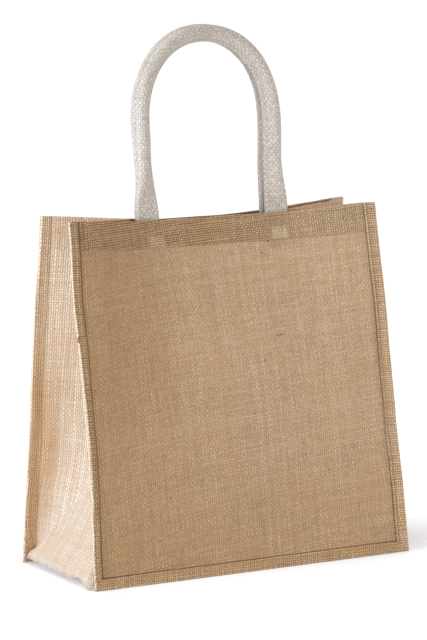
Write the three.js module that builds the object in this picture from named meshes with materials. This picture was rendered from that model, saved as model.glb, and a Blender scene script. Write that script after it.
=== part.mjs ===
import * as THREE from 'three';

// Lengths in millimetres, Z up, the front toward -Y, the floor at z = 0.
const cloth = 1.4;
const half = cloth / 2;
const gap = 0.33;
const layer = cloth + gap;
const foldZ = layer * Math.cos(Math.PI / 10) + half;
const edgeRoom = 0.4;

const bodyTop = 299;
const halfWidth = { bottom: 147.9, top: 143.4 };
const halfDepth = { bottom: 69, top: 26.8 };
const sideFlange = 10.2;
// How much nearer to its edge each seam is sewn than sideFlange says.
const seamShift = {
  front: { left: 3.4, right: 0 },
  back: { left: -0.4, right: 0 },
};
// The front panel's left edge is drawn in over its middle height.
const drawnIn = { width: 2.3, low: 5, full: 35, fade: 200, gone: 285 };
const sideSwell = 0.7;
const frontLower = 1;
const seamZ = 9.5;

const hem = { depth: 25, step: 0.5, extra: 1.4, fromSeam: 8, gussetFromSeam: 14 };
const belly = 6;
const mouth = {
  front: { pinch: 17.3, sag: 3.1 },
  back: { pinch: 18.3, sag: 5.2 },
  easing: 0.57,
  rate: 1.6,
};
const corner = { dip: 1.5, easing: 0.2 };
const flare = { slope: 0.34, low: 14, full: 95, fade: 130, gone: 225 };

const fold = { apexZ: 86, tuck: 0.955, halfCloth: 66.1, tip: 1.2, blunt: 0.8, sag: 4, bow: 1.6 };
const bottomSag = { depth: 6.2, rate: 6, goneBy: 1 / 3 };
const ridge = { width: 3, run: 0.6, extra: 0.8 };
const mitreLimit = 1.5;
// Where the gusset turns inward beside its seam, behind the panel.
const innerTurn = [
  { across: 1.4, deeper: 0 },
  { across: 0.4, deeper: 0.35 },
  { across: 0, deeper: 1.3 },
];

const handle = {
  halfSpan: 63.8, converge: 2.3, springZ: 373, rise: 75.2, endZ: 271, baseZ: 294, leanBack: 10.7,
  baseLeft: -1.2, flat: 2, room: 0.45, roundFrom: 297, roundTo: 342, rollLeft: 35, rollRight: 15,
  inRate: 1.5, archRate: 0.96, archSteps: 16,
};
const legLevels = [handle.endZ, 282, handle.baseZ, 300, 310, 322, 336, 350, 362];
// Where the back handle's arch stands from the front one's, and how far its left base is moved in.
const backHandle = { x: 1.3, y: 2.4, z: 0.3, leftBase: 4.8 };

// One half of a handle's section, from its outer side to the folded inner side.
// roundOut and roundDeep belong to the arch, flatOut and flatDeep to the ends.
const handleSection = [
  { roundOut: 5.2, roundDeep: 0, flatOut: 10.2, flatDeep: 0 },
  { roundOut: 4.3, roundDeep: 2.9, flatOut: 9.6, flatDeep: 1.6 },
  { roundOut: 1.9, roundDeep: 4.8, flatOut: 6, flatDeep: 2 },
  { roundOut: -1, roundDeep: 5, flatOut: 1.5, flatDeep: 2 },
  { roundOut: -3.8, roundDeep: 3.7, flatOut: -3.5, flatDeep: 2 },
  { roundOut: -6, roundDeep: 2.1, flatOut: -7.5, flatDeep: 2 },
  { roundOut: -9.2, roundDeep: 1.7, flatOut: -10.2, flatDeep: 1.6 },
];

const rowLevels = [
  foldZ + edgeRoom, seamZ, 16, 26, 38, 54, 70, 86, 106, 128, 150, 172, 194, 215, 234, 250, 262,
  bodyTop - hem.depth - hem.step, bodyTop - hem.depth + hem.step, 286, bodyTop,
];
const columnShares = [0.952, 0.942, 0.87, 0.77, 0.66, 0.55, 0.44, 0.3, 0.15, 0];
const bottomShares = [1, 0.95, 0.87, 0.66, 0.44, 0.22, 0];
const creaseSteps = [0.25, 0.5, 0.75, 1];
const lowerBand = 20;

function smooth(from, to, value) {
  const t = Math.min(1, Math.max(0, (value - from) / (to - from)));
  return t * t * (3 - 2 * t);
}

function between(a, b, t) {
  return a + (b - a) * t;
}

function panelHalf(z) {
  const h = z / bodyTop;
  return between(halfWidth.bottom, halfWidth.top, h) + sideSwell * Math.sin(Math.PI * h);
}

function panelEdge(side, sign, z) {
  const turned = smooth(drawnIn.low, drawnIn.full, z) * (1 - smooth(drawnIn.fade, drawnIn.gone, z));
  return panelHalf(z) - (side < 0 && sign < 0 ? drawnIn.width * turned : 0);
}

function seamHalf(z) {
  return panelHalf(z) - sideFlange;
}

function shiftOf(side, x) {
  const set = side < 0 ? seamShift.front : seamShift.back;
  return x < 0 ? set.left : set.right;
}

// Middle of a panel's cloth as a height over the wall plane; side is -1 in front and 1 behind.
function panelDepth(side, x, z) {
  const h = Math.max(0, z / bodyTop);
  const s = Math.min(1, Math.abs(x) / seamHalf(z));
  const set = side < 0 ? mouth.front : mouth.back;
  const inward = set.pinch * smooth(0, mouth.easing, 1 - s) * h ** mouth.rate;
  const outward = belly * Math.sin(Math.PI * Math.min(1, h)) ** 2 * (1 - s * s) ** 2;
  let y = side * (between(halfDepth.bottom, halfDepth.top, h) - inward + outward);
  const past = -x - seamHalf(z) - shiftOf(side, x);
  if (side < 0 && past > 0) {
    const turned = smooth(flare.low, flare.full, z) * (1 - smooth(flare.fade, flare.gone, z));
    y -= flare.slope * turned * past;
  }
  return y;
}

function panelDrop(side, x, z) {
  const s = Math.min(1, Math.abs(x) / seamHalf(z));
  const set = side < 0 ? mouth.front : mouth.back;
  const drop = corner.dip * smooth(0, corner.easing, 1 - s) + set.sag * smooth(0, mouth.easing, 1 - s);
  return (drop + (side < 0 ? frontLower : 0)) * (z / bodyTop) ** 2;
}

// Level outward direction of a panel at x and z.
function panelNormal(side, x, z) {
  const step = 0.05;
  const inner = panelDepth(side, x - step, z);
  const outer = panelDepth(side, x + step, z);
  const slope = (outer - inner) / (2 * step);
  const length = Math.hypot(1, slope);
  return { x: -side * slope / length, y: side / length };
}

// Whether a quad's diagonal climbs away from the middle of the bag; neighbouring layers split alike.
function rises(p, q) {
  return (q[0] - p[0]) * (q[2] - p[2]) * (p[0] + q[0]) >= 0;
}

// Closed mesh between two matching grids of points.
function closedShell(faceA, faceB) {
  const rows = faceA.length;
  const columns = faceA[0].length;
  const positions = [];
  for (const face of [faceA, faceB]) {
    for (const row of face) {
      for (const p of row) {
        positions.push(p[0], p[1], p[2]);
      }
    }
  }
  const at = (face, r, c) => (face * rows + r) * columns + c;
  const index = [];
  const quad = (a, b, c, d) => {
    index.push(a, b, c, a, c, d);
  };
  for (let r = 0; r < rows - 1; r += 1) {
    for (let c = 0; c < columns - 1; c += 1) {
      const corners = [[r, c], [r, c + 1], [r + 1, c + 1], [r + 1, c]];
      if (!rises(faceA[r][c], faceA[r + 1][c + 1])) {
        corners.push(corners.shift());
      }
      quad(...corners.map(([i, j]) => at(0, i, j)));
      corners.push(...corners.splice(1, 3).reverse());
      quad(...corners.map(([i, j]) => at(1, i, j)));
    }
  }
  for (let c = 0; c < columns - 1; c += 1) {
    quad(at(0, 0, c), at(1, 0, c), at(1, 0, c + 1), at(0, 0, c + 1));
    quad(at(0, rows - 1, c), at(0, rows - 1, c + 1), at(1, rows - 1, c + 1), at(1, rows - 1, c));
  }
  for (let r = 0; r < rows - 1; r += 1) {
    quad(at(0, r, 0), at(0, r + 1, 0), at(1, r + 1, 0), at(1, r, 0));
    quad(at(0, r, columns - 1), at(1, r, columns - 1), at(1, r + 1, columns - 1),
      at(0, r + 1, columns - 1));
  }
  return outwardGeometry(positions, index);
}

// Closed tube through matching rings of points, with flat ends.
function closedTube(rings) {
  const count = rings[0].length;
  const positions = rings.flat(2);
  const index = [];
  for (let r = 0; r < rings.length - 1; r += 1) {
    for (let c = 0; c < count; c += 1) {
      const a = r * count + c;
      const b = r * count + (c + 1) % count;
      index.push(a, b, b + count, a, b + count, a + count);
    }
  }
  const last = (rings.length - 1) * count;
  for (let c = 1; c < count - 1; c += 1) {
    index.push(0, c + 1, c);
    index.push(last, last + c, last + c + 1);
  }
  return outwardGeometry(positions, index);
}

function outwardGeometry(positions, index) {
  let volume = 0;
  const point = (i) => new THREE.Vector3(positions[3 * i], positions[3 * i + 1], positions[3 * i + 2]);
  for (let i = 0; i < index.length; i += 3) {
    const a = point(index[i]);
    const b = point(index[i + 1]);
    const c = point(index[i + 2]);
    volume += a.dot(b.cross(c));
  }
  if (volume < 0) {
    for (let i = 0; i < index.length; i += 3) {
      [index[i + 1], index[i + 2]] = [index[i + 2], index[i + 1]];
    }
  }
  const geometry = new THREE.BufferGeometry();
  geometry.setAttribute('position', new THREE.Float32BufferAttribute(positions, 3));
  geometry.setIndex(index);
  geometry.computeVertexNormals();
  return geometry;
}

function columnPlaces(side, z) {
  const oneSide = (sign) => {
    const edge = panelEdge(side, sign, z) - edgeRoom;
    const seam = seamHalf(z) + shiftOf(side, sign);
    const places = [edge, seam + ridge.width + ridge.run, seam];
    for (const share of columnShares) {
      places.push(seamHalf(z) * share);
    }
    return places.map((x) => sign * x);
  };
  return [...oneSide(-1).slice(0, -1), ...oneSide(1).reverse()];
}

function panelGeometry(side) {
  const outerFace = [];
  const innerFace = [];
  const hemStart = bodyTop - hem.depth;
  for (const z of rowLevels) {
    const outerRow = [];
    const innerRow = [];
    for (const x of columnPlaces(side, z)) {
      const y = panelDepth(side, x, z);
      const n = panelNormal(side, x, z);
      const drop = panelDrop(side, x, z);
      const doubled = z > hemStart && Math.abs(x) < seamHalf(z) - hem.fromSeam + 1;
      const inside = half + (doubled ? hem.extra : 0);
      outerRow.push([x + n.x * half, y + n.y * half, z - drop]);
      innerRow.push([x - n.x * inside, y - n.y * inside, z - drop]);
    }
    outerFace.push(outerRow);
    innerFace.push(innerRow);
  }
  return closedShell(outerFace, innerFace);
}

// Stations of the gusset down the left side, across the bottom and up the right side.
// outX and outZ say which way its flange stands.
function gussetStations() {
  const sideLevels = rowLevels.filter((z) => z > seamZ);
  const left = [];
  const right = [];
  for (const z of sideLevels) {
    left.unshift({ x: -seamHalf(z), z, outX: -1, outZ: 0 });
    right.push({ x: seamHalf(z), z, outX: 1, outZ: 0 });
  }
  const bottom = [];
  const reach = seamHalf(seamZ);
  for (const share of bottomShares) {
    bottom.push({ x: -share * reach, z: seamZ, outX: share === 1 ? -1 : 0, outZ: -1 });
  }
  for (const share of bottomShares.slice(0, -1).reverse()) {
    bottom.push({ x: share * reach, z: seamZ, outX: share === 1 ? 1 : 0, outZ: -1 });
  }
  return [...left, ...bottom, ...right];
}

// Where a station's seam and its fold lie beside one panel, with the reach between them.
function seamAndFold(side, station) {
  const { outX, outZ } = station;
  if (outX === 0) {
    return { seam: [station.x, seamZ], fold: [station.x, foldZ], start: 0, reach: seamZ - foldZ };
  }
  const shift = shiftOf(side, outX);
  const foldLevel = outZ === 0 ? station.z : foldZ;
  return {
    seam: [outX * (seamHalf(station.z) + shift), station.z],
    fold: [outX * panelEdge(side, outX, foldLevel), foldLevel],
    start: outZ === 0 ? shift : 0,
    reach: outZ === 0 ? panelEdge(side, outX, station.z) - seamHalf(station.z) - shift : seamZ - foldZ,
  };
}

// Middle line of the flange part beside one panel, from its folded edge on the outer face to the web.
function flangeLine(side, station) {
  const { seam, fold, start, reach } = seamAndFold(side, station);
  const spotAt = (a) => seam.map((value, i) => between(value, fold[i], a / reach));
  const depthAt = (a) => panelDepth(side, ...spotAt(a));
  const slope = station.outZ === 0 ? (depthAt(reach) - depthAt(reach - 0.1)) / 0.1 : 0;
  const length = Math.hypot(1, slope);
  const along = [1 / length, slope / length];
  const out = [-side * along[1], side * along[0]];
  const line = [];
  const add = (a, past, b, extra = 0) => {
    const aside = past * along[0] + b * out[0];
    line.push({
      spot: spotAt(a),
      past: aside,
      flat: [start + a + aside, depthAt(a) + past * along[1] + b * out[1]],
      extra,
    });
  };
  const beyondRidge = ridge.width + ridge.run;
  add(0, 0, layer, ridge.extra);
  add(ridge.width, 0, layer, ridge.extra);
  add(beyondRidge, 0, layer);
  for (const degrees of [90, 54, 18, -18, -54, -90]) {
    const angle = degrees * Math.PI / 180;
    add(reach, layer * Math.cos(angle), layer * Math.sin(angle));
  }
  add(beyondRidge, 0, -layer);
  for (const turn of innerTurn) {
    add(turn.across, 0, -layer - turn.deeper);
  }
  return line;
}

// How far the web is tucked inward at a station, for a depth y between the seams.
function webInward(station, share, halfSpan) {
  const sag = bottomSag.depth * (1 - share ** bottomSag.rate);
  if (station.outZ !== 0) {
    return -sag;
  }
  const h = Math.min(1, (station.z - seamZ) / (fold.apexZ - seamZ));
  const tuck = fold.tuck * Math.sqrt(Math.max(0, fold.halfCloth ** 2 - halfSpan ** 2));
  const inward = tuck * Math.min(h, 1 - share);
  const bow = fold.bow * Math.sin(Math.PI * Math.min(1, share)) * h;
  return inward + bow - sag * Math.max(0, 1 - h / bottomSag.goneBy);
}

// Middle line of one whole station, from the front fold to the back fold.
function stationLine(station) {
  const front = flangeLine(-1, station);
  const back = flangeLine(1, station).reverse();
  const [aFront, yFront] = front[front.length - 1].flat;
  const [aBack, yBack] = back[0].flat;
  const middle = (yFront + yBack) / 2;
  const span = (yBack - yFront) / 2;
  const onSide = station.outZ === 0;
  const h = onSide ? Math.min(1, (station.z - seamZ) / (fold.apexZ - seamZ)) : 0;
  const crease = Math.min(fold.blunt, Math.max(fold.tip / span, 1 - h));
  const shares = [];
  for (const part of creaseSteps) {
    shares.push(between(1, crease, part));
  }
  const web = [];
  const hemmed = station.z > bodyTop - hem.depth;
  const addWeb = (share, sign) => {
    const inward = webInward(station, share, span);
    const doubled = hemmed && 1 - share > hem.gussetFromSeam / fold.halfCloth;
    const y = middle + sign * span * share;
    const toBack = (y - yFront) / (yBack - yFront);
    web.push({
      spot: seamAndFold(-1, station).seam.map((value, i) => between(value,
        seamAndFold(1, station).seam[i], toBack)),
      past: -inward,
      flat: [between(aFront, aBack, toBack) - inward, y],
      inner: doubled ? hem.extra : 0,
      drop: fold.sag * Math.max(0, inward) / fold.halfCloth * (station.z / bodyTop) ** 3,
    });
  };
  for (const share of shares) {
    addWeb(share, -1);
  }
  addWeb(0, 1);
  for (const share of shares.reverse()) {
    addWeb(share, 1);
  }
  return [...front, ...web, ...back];
}

function gussetGeometry() {
  const outerFace = [];
  const innerFace = [];
  for (const station of gussetStations()) {
    const line = stationLine(station);
    const outerRow = [];
    const innerRow = [];
    const last = line.length - 1;
    line.forEach((here, i) => {
      const before = line[Math.max(0, i - 1)];
      const after = line[Math.min(last, i + 1)];
      const one = i > 0 ? sectionNormal(before.flat, here.flat) : sectionNormal(here.flat, after.flat);
      const two = i < last ? sectionNormal(here.flat, after.flat) : one;
      const sum = [one[0] + two[0], one[1] + two[1]];
      const scale = Math.min(mitreLimit, 2 / (sum[0] ** 2 + sum[1] ** 2));
      const toFront = Math.min(1, Math.max(0, (lowerBand - here.flat[1]) / (2 * lowerBand)));
      const lower = (here.drop ?? 0) + frontLower * toFront * (station.z / bodyTop) ** 2;
      const point = (away) => {
        const past = here.past + sum[0] * scale * away;
        return [
          here.spot[0] + station.outX * past,
          here.flat[1] + sum[1] * scale * away,
          here.spot[1] + station.outZ * past - lower,
        ];
      };
      outerRow.push(point(half + (here.extra ?? 0)));
      innerRow.push(point(-half - (here.inner ?? 0)));
    });
    outerFace.push(outerRow);
    innerFace.push(innerRow);
  }
  return closedShell(outerFace, innerFace);
}

function sectionNormal(from, to) {
  const da = to[0] - from[0];
  const dy = to[1] - from[1];
  const length = Math.hypot(da, dy);
  return [dy / length, -da / length];
}

// Centre of the handle from its left end over the arch to its right end, as x and z.
function handlePath() {
  const left = [];
  for (const z of legLevels) {
    const h = Math.max(0, (z - handle.baseZ) / (handle.springZ - handle.baseZ));
    left.push([-(handle.halfSpan - handle.converge * (1 - h) ** handle.inRate), z]);
  }
  const arch = [];
  for (let i = 0; i <= handle.archSteps; i += 1) {
    const angle = Math.PI * (1 - i / handle.archSteps);
    const wide = Math.sign(Math.cos(angle)) * Math.abs(Math.cos(angle)) ** handle.archRate;
    const high = Math.max(0, Math.sin(angle)) ** handle.archRate;
    arch.push([handle.halfSpan * wide, handle.springZ + handle.rise * high]);
  }
  const right = left.map(([x, z]) => [-x, z]).reverse();
  return [...left, ...arch, ...right];
}

function handleGeometry(side) {
  const path = handlePath();
  const top = handle.springZ + handle.rise;
  const rings = path.map(([pathX, pathZ], i) => {
    const before = path[Math.max(0, i - 1)];
    const after = path[Math.min(path.length - 1, i + 1)];
    const along = new THREE.Vector2(after[0] - before[0], after[1] - before[1]).normalize();
    const rounding = smooth(handle.roundFrom, handle.roundTo, pathZ);
    const grown = smooth(handle.roundFrom, handle.springZ, pathZ);
    const move = side > 0 ? grown : 0;
    const level = Math.min(pathZ, handle.baseZ);
    const wallAt = (place) => panelDepth(side, place, level + panelDrop(side, place, level));
    const inset = half + hem.extra + handle.room + handle.flat;
    const lean = handle.leanBack * Math.max(0, pathZ - handle.baseZ) / (top - handle.baseZ);
    const baseX = side > 0 && pathX < 0 ? backHandle.leftBase : 0;
    const x = pathX + between(baseX, backHandle.x, move) + handle.baseLeft * (1 - grown);
    const y = wallAt(x) - side * inset + lean + (side > 0 ? backHandle.y * rounding : 0);
    const z = pathZ + backHandle.z * move;
    const degrees = between(handle.rollLeft, handle.rollRight, i / (path.length - 1));
    const roll = degrees * rounding * Math.PI / 180;
    const place = (row, sign) => {
      const across = between(row.flatOut, row.roundOut, rounding);
      const deep = sign * between(row.flatDeep, row.roundDeep, rounding);
      const outward = across * Math.cos(roll) + deep * Math.sin(roll);
      const backward = deep * Math.cos(roll) - across * Math.sin(roll);
      const px = x - along.y * outward;
      const follow = (1 - rounding) * (wallAt(px) - wallAt(x));
      return [px, y + follow + backward, z + along.x * outward];
    };
    const near = handleSection.map((row) => place(row, 1));
    const far = handleSection.slice(1).reverse().map((row) => place(row, -1));
    return [...near, ...far];
  });
  return closedTube(rings);
}

function cloth3d(name, geometry, color) {
  const material = new THREE.MeshStandardMaterial({ color, roughness: 0.9, metalness: 0 });
  material.name = name;
  const mesh = new THREE.Mesh(geometry, material);
  mesh.name = name;
  return mesh;
}

const bag = new THREE.Group();
bag.name = 'jute_tote_bag';
bag.add(cloth3d('front_panel', panelGeometry(-1), 0xb99c7c));
bag.add(cloth3d('back_panel', panelGeometry(1), 0xb3956f));
bag.add(cloth3d('gusset', gussetGeometry(), 0xd9bf9f));
bag.add(cloth3d('front_handle', handleGeometry(-1), 0xdcd6cb));
bag.add(cloth3d('back_handle', handleGeometry(1), 0xd2cabd));

export default bag;
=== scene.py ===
import math

import bpy
import numpy as np
from mathutils import Matrix, Vector


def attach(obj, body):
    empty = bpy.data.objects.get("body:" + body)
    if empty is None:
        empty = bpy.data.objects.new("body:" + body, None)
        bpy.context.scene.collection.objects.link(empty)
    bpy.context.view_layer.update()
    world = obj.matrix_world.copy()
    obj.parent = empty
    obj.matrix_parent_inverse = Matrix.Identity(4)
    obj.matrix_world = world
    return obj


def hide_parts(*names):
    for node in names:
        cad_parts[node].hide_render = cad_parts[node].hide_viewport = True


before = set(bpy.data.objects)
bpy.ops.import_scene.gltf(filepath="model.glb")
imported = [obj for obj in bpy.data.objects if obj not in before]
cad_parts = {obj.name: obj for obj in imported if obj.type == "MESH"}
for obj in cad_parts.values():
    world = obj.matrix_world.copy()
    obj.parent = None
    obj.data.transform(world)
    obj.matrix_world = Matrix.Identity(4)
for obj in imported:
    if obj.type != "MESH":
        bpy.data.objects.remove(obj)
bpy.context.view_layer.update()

mm = 0.001  # the shapes below are in millimetres, the meshes in metres
dice = np.random.default_rng(7)


def smooth(start, end, value):
    t = np.clip((value - start) / (end - start), 0, 1)
    return t * t * (3 - 2 * t)


def between(a, b, t):
    return a + (b - a) * t


def unit(vectors):
    return vectors / np.linalg.norm(vectors, axis=-1)[..., None]


# The way gone at each point of a line, from the lengths of its steps
def running(steps):
    return np.concatenate([np.zeros_like(steps[..., :1]), np.cumsum(steps, -1)], -1)


def addObject(name, data):
    made = bpy.data.objects.new(name, data)
    bpy.context.collection.objects.link(made)
    return made


# Camera

camera = {
    "azimuth": -28.52,
    "elevation": 7.27,
    "roll": -0.98,
    "distance": 2.6004,
    "target": (0.00099, 0.0, 0.20412),
    "lens": 258.8,
    "sensor": 36,
    "farthest": 200,
}


def makeCamera():
    azimuth, elevation, roll = (math.radians(camera[k]) for k in ("azimuth", "elevation", "roll"))
    flat = math.cos(elevation)
    back = Vector((math.sin(azimuth) * flat, -math.cos(azimuth) * flat, math.sin(elevation)))
    right = Vector((0, 0, 1)).cross(back).normalized()
    turn = Matrix((right, back.cross(right), back)).transposed() @ Matrix.Rotation(roll, 3, "Z")
    data = bpy.data.cameras.new("camera")
    data.lens = camera["lens"]
    data.sensor_fit = "HORIZONTAL"
    data.sensor_width = camera["sensor"]
    data.clip_end = camera["farthest"]
    made = addObject("camera", data)
    place = Vector(camera["target"]) + back * camera["distance"]
    made.matrix_world = Matrix.Translation(place) @ turn.to_4x4()
    bpy.context.scene.camera = made


makeCamera()
print("camera set")


# Shader maths


def operator(operation, swapped=False):
    def apply(signal, other):
        a, b = (other, signal) if swapped else (signal, other)
        return signal.recipe.math(operation, a, b)
    return apply


class Signal:  # the value at a socket; arithmetic with it adds Math nodes
    def __init__(self, recipe, socket):
        self.recipe = recipe
        self.socket = socket

    def __getitem__(self, name):  # another output of the same node
        return Signal(self.recipe, self.socket.node.outputs[name])

    __add__ = __radd__ = operator("ADD")
    __mul__ = __rmul__ = operator("MULTIPLY")
    __sub__ = operator("SUBTRACT")
    __rsub__ = operator("SUBTRACT", True)
    __truediv__ = operator("DIVIDE")


mattCloth = {"Specular IOR Level": 0.25, "Sheen Roughness": 0.6}


class Recipe:  # a material and the nodes it is made of
    def __init__(self, name):
        self.material = bpy.data.materials.new(name)
        self.material.use_nodes = True
        self.tree = self.material.node_tree
        self.shader = self.tree.nodes["Principled BSDF"]

    def make(self, kind, settings, inputs, output=0):
        node = self.tree.nodes.new(kind)
        for name, value in settings.items():
            setattr(node, name, value)
        for name, value in inputs.items():
            fitting = [s for s in node.inputs if s.identifier == name]
            self.feed(fitting[0] if fitting else node.inputs[name], value)
        return Signal(self, node.outputs[output])

    def feed(self, socket, value):
        if isinstance(value, Signal):
            self.tree.links.new(value.socket, socket)
        elif isinstance(value, tuple) and socket.type == "RGBA" and len(value) == 3:
            socket.default_value = (*value, 1)
        else:
            socket.default_value = value

    def math(self, operation, a, b=0.0):
        return self.make("ShaderNodeMath", {"operation": operation}, {"Value": a, "Value_001": b})

    def step(self, value, start, end):
        return self.make("ShaderNodeMapRange", {"interpolation_type": "SMOOTHSTEP"},
                         {"Value": value, "From Min": start, "From Max": end})

    def band(self, value, low, high, soft):
        return self.step(value, low - soft, low + soft) * (1 - self.step(value, high - soft, high + soft))

    def most(self, a, b):
        return self.math("MAXIMUM", a, b)

    def tinted(self, color, by, share=1.0):
        return self.mix(share, color, by, "MULTIPLY")

    def channels(self, color):
        return self.make("ShaderNodeSeparateColor", {}, {"Color": color["Color"]})

    def chance(self, x, y):
        return self.make("ShaderNodeTexWhiteNoise", {"noise_dimensions": "2D"}, {"Vector": self.join(x, y)})

    def mix(self, share, a, b, blend="MIX"):
        return self.make("ShaderNodeMix", {"data_type": "RGBA", "blend_type": blend},
                         {"Factor_Float": share, "A_Color": a, "B_Color": b}, "Result")

    def join(self, x, y):
        return self.make("ShaderNodeCombineXYZ", {}, {"X": x, "Y": y})

    def grey(self, value):
        return self.make("ShaderNodeCombineColor", {}, {"Red": value, "Green": value, "Blue": value})

    def past(self, name, value):  # 1 beyond the named mark
        return self.step(value, *self.marks[name])

    def within(self, name, value):  # 1 between the named mark's ends
        return self.band(value, *self.marks[name])

    def noise(self, name, u, v):
        across, along, startU, startV, detail = patterns[name]
        spot = self.join(u * across + startU, v * along + startV)
        inputs = {"Vector": spot, "Scale": 1.0, "Detail": detail, "Roughness": 0.5}
        return self.make("ShaderNodeTexNoise", {"noise_dimensions": "2D"}, inputs)

    def places(self, name="threads"):
        spot = self.make("ShaderNodeUVMap", {"uv_map": name}, {})
        parts = self.make("ShaderNodeSeparateXYZ", {}, {"Vector": spot})
        return parts["X"], parts["Y"]

    def coat(self, values):
        for name, value in values.items():
            self.feed(self.shader.inputs[name], value)

    def finish(self, color, roughness, height, sheen):
        bump = self.make("ShaderNodeBump", {}, {"Height": height, "Distance": mm, "Strength": 1.0})
        self.coat({"Base Color": color, "Roughness": roughness, "Normal": bump, "Sheen Weight": sheen})
        self.coat(mattCloth)
        return self.material


# Studio

studio = {
    "floorSize": 90.0,
    "floorColor": (0.9, 0.9, 0.92),
    "floorGlow": (0.8, 0.92, 1.0),
    "shadeBase": 2.718,  # the floor's shades fade like a bell curve of this base
    "floorSurface": {"Roughness": 0.9, "Specular IOR Level": 0.1, "Emission Strength": 0.24},
    "walls": ((0.12, (0.95, 0.94, 0.92)), (0.35, (0.16, 0.1, 0.06))),  # pale at eye level and dim above
}
# a soft light aimed at the middle of the bag, and a broad one straight above that brightens the floor
lights = {
    "key": ("AREA", {"size": 1.4, "energy": 72, "color": (0.68, 0.8, 1.0)}),
    "overhead": ("SUN", {"energy": 2.45, "angle": math.radians(100.0), "color": (0.98, 0.98, 1.0)}),
}
keyPlace = (-3.0, -0.3, 0.9)
# soft shade on the floor beside the bag: its middle and reach in metres, and how much it takes away
floorShades = {
    "right": {"middle": (0.158, -0.012), "reach": (0.085, 0.058), "share": 0.2},
    "left": {"middle": (-0.136, 0.0), "reach": (0.011, 0.07), "share": 0.25},
}


def makeStudio():
    scene = bpy.context.scene
    scene.view_settings.view_transform = "Standard"
    scene.view_settings.look = "None"
    world = bpy.data.worlds.new("room")
    world.use_nodes = True
    nodes, links = world.node_tree.nodes, world.node_tree.links
    toward = nodes.new("ShaderNodeTexCoord")
    parts = nodes.new("ShaderNodeSeparateXYZ")
    ramp = nodes.new("ShaderNodeValToRGB")
    for stop, (height, color) in zip(ramp.color_ramp.elements, studio["walls"]):
        stop.position = height
        stop.color = (*color, 1)
    links.new(toward.outputs["Generated"], parts.inputs["Vector"])
    links.new(parts.outputs["Z"], ramp.inputs["Fac"])
    links.new(ramp.outputs["Color"], nodes["Background"].inputs["Color"])
    scene.world = world
    reach = studio["floorSize"] / 2
    mesh = bpy.data.meshes.new("floor")
    corners = [(-reach, -reach, 0), (reach, -reach, 0), (reach, reach, 0), (-reach, reach, 0)]
    mesh.from_pydata(corners, [], [(0, 1, 2, 3)])
    floor = addObject("floor", mesh)
    r = Recipe("floorPaper")
    spot = r.make("ShaderNodeSeparateXYZ", {}, {"Vector": r.make("ShaderNodeTexCoord", {}, {}, "Object")})
    bright = 1.0
    for shade in floorShades.values():
        (middleX, middleY), (reachX, reachY) = shade["middle"], shade["reach"]
        x, y = (spot["X"] - middleX) / reachX, (spot["Y"] - middleY) / reachY
        near = r.math("POWER", studio["shadeBase"], (x * x + y * y) * -1)
        bright = bright * (1 - near * shade["share"])
    bright = r.grey(bright)
    r.coat({"Base Color": r.tinted(studio["floorColor"], bright)})
    r.coat({"Emission Color": r.tinted(studio["floorGlow"], bright)})
    r.coat(studio["floorSurface"])
    mesh.materials.append(r.material)
    for name, (kind, settings) in lights.items():
        data = bpy.data.lights.new(name, kind)
        for setting, value in settings.items():
            setattr(data, setting, value)
        made = addObject(name, data)
        if name == "key":
            made.location = keyPlace
            aim = Vector(camera["target"]) - made.location
            made.rotation_euler = aim.to_track_quat("-Z", "Y").to_euler()


makeStudio()
print("studio lit")


# Weave and colour

# irregular patterns over the cloth: frequency across and along, start across and along, and detail
patterns = {
    "warpSlow": (0.33, 0.022, 0, 0, 1.0),
    "weftSlow": (0.022, 0.33, 50, 0, 1.0),
    "warpFibre": (6, 0.25, 0, 0, 2.0),
    "weftFibre": (0.25, 6, 0, 40, 2.0),
    "cloud": (0.03, 0.03, 0, 0, 3.0),
    "stripe": (0.12, 0.008, 9, 0, 2.0),
    "grain": (1.1, 1.1, 3, 0, 1.0),
    "loose": (0.02, 0.02, 7, 3, 2.0),
    "cottonTone": (0.8, 0.8, 0, 0, 3.0),
    "cottonFuzz": (9, 9, 0, 0, 2.0),
    "cottonStain": (0.12, 0.12, 0, 20, 2.0),
    "threadTone": (0.4, 0.7, 0, 0, 2.0),
}
crimp = {"level": 0.6, "swing": 0.4, "meet": 0.05}  # how high threads lie, rise and sink, and meet


# Height, from 0 in a gap to 1 on top of a thread, of a plain weave. a counts its warp threads and b
# its weft threads; also which of the two is on top, and random tones of each crossing and thread.
def plainWeave(r, a, b, warpHalf, weftHalf, warpLift):
    nearA, nearB = r.math("FLOOR", a), r.math("FLOOR", b)
    fromA, fromB = a - nearA - 0.5, b - nearB - 0.5
    over = 1 - 4 * r.math("FRACT", (nearA + nearB) * 0.5)
    level, swing = crimp["level"], crimp["swing"]

    def roundness(beside):
        return r.math("SQRT", r.most(1 - beside * beside, 0.0))

    warpRise = swing * over * r.math("COSINE", fromB * math.pi)
    weftRise = swing * over * r.math("COSINE", fromA * math.pi)
    warp = roundness(fromA / warpHalf) * (level + warpLift + warpRise)
    weft = roundness(fromB / weftHalf) * (level - warpLift - weftRise)
    onTop = r.step(warp - weft, -crimp["meet"], crimp["meet"])
    own = between(r.chance(0.5, nearB), r.chance(nearA, 0.5), onTop)
    return r.most(warp, weft), onTop, r.chance(nearA, nearB), own


# A pattern's value from 0 to 1 as a change to both sides
def sway(value, amount):
    return (value - 0.5) * amount


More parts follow.
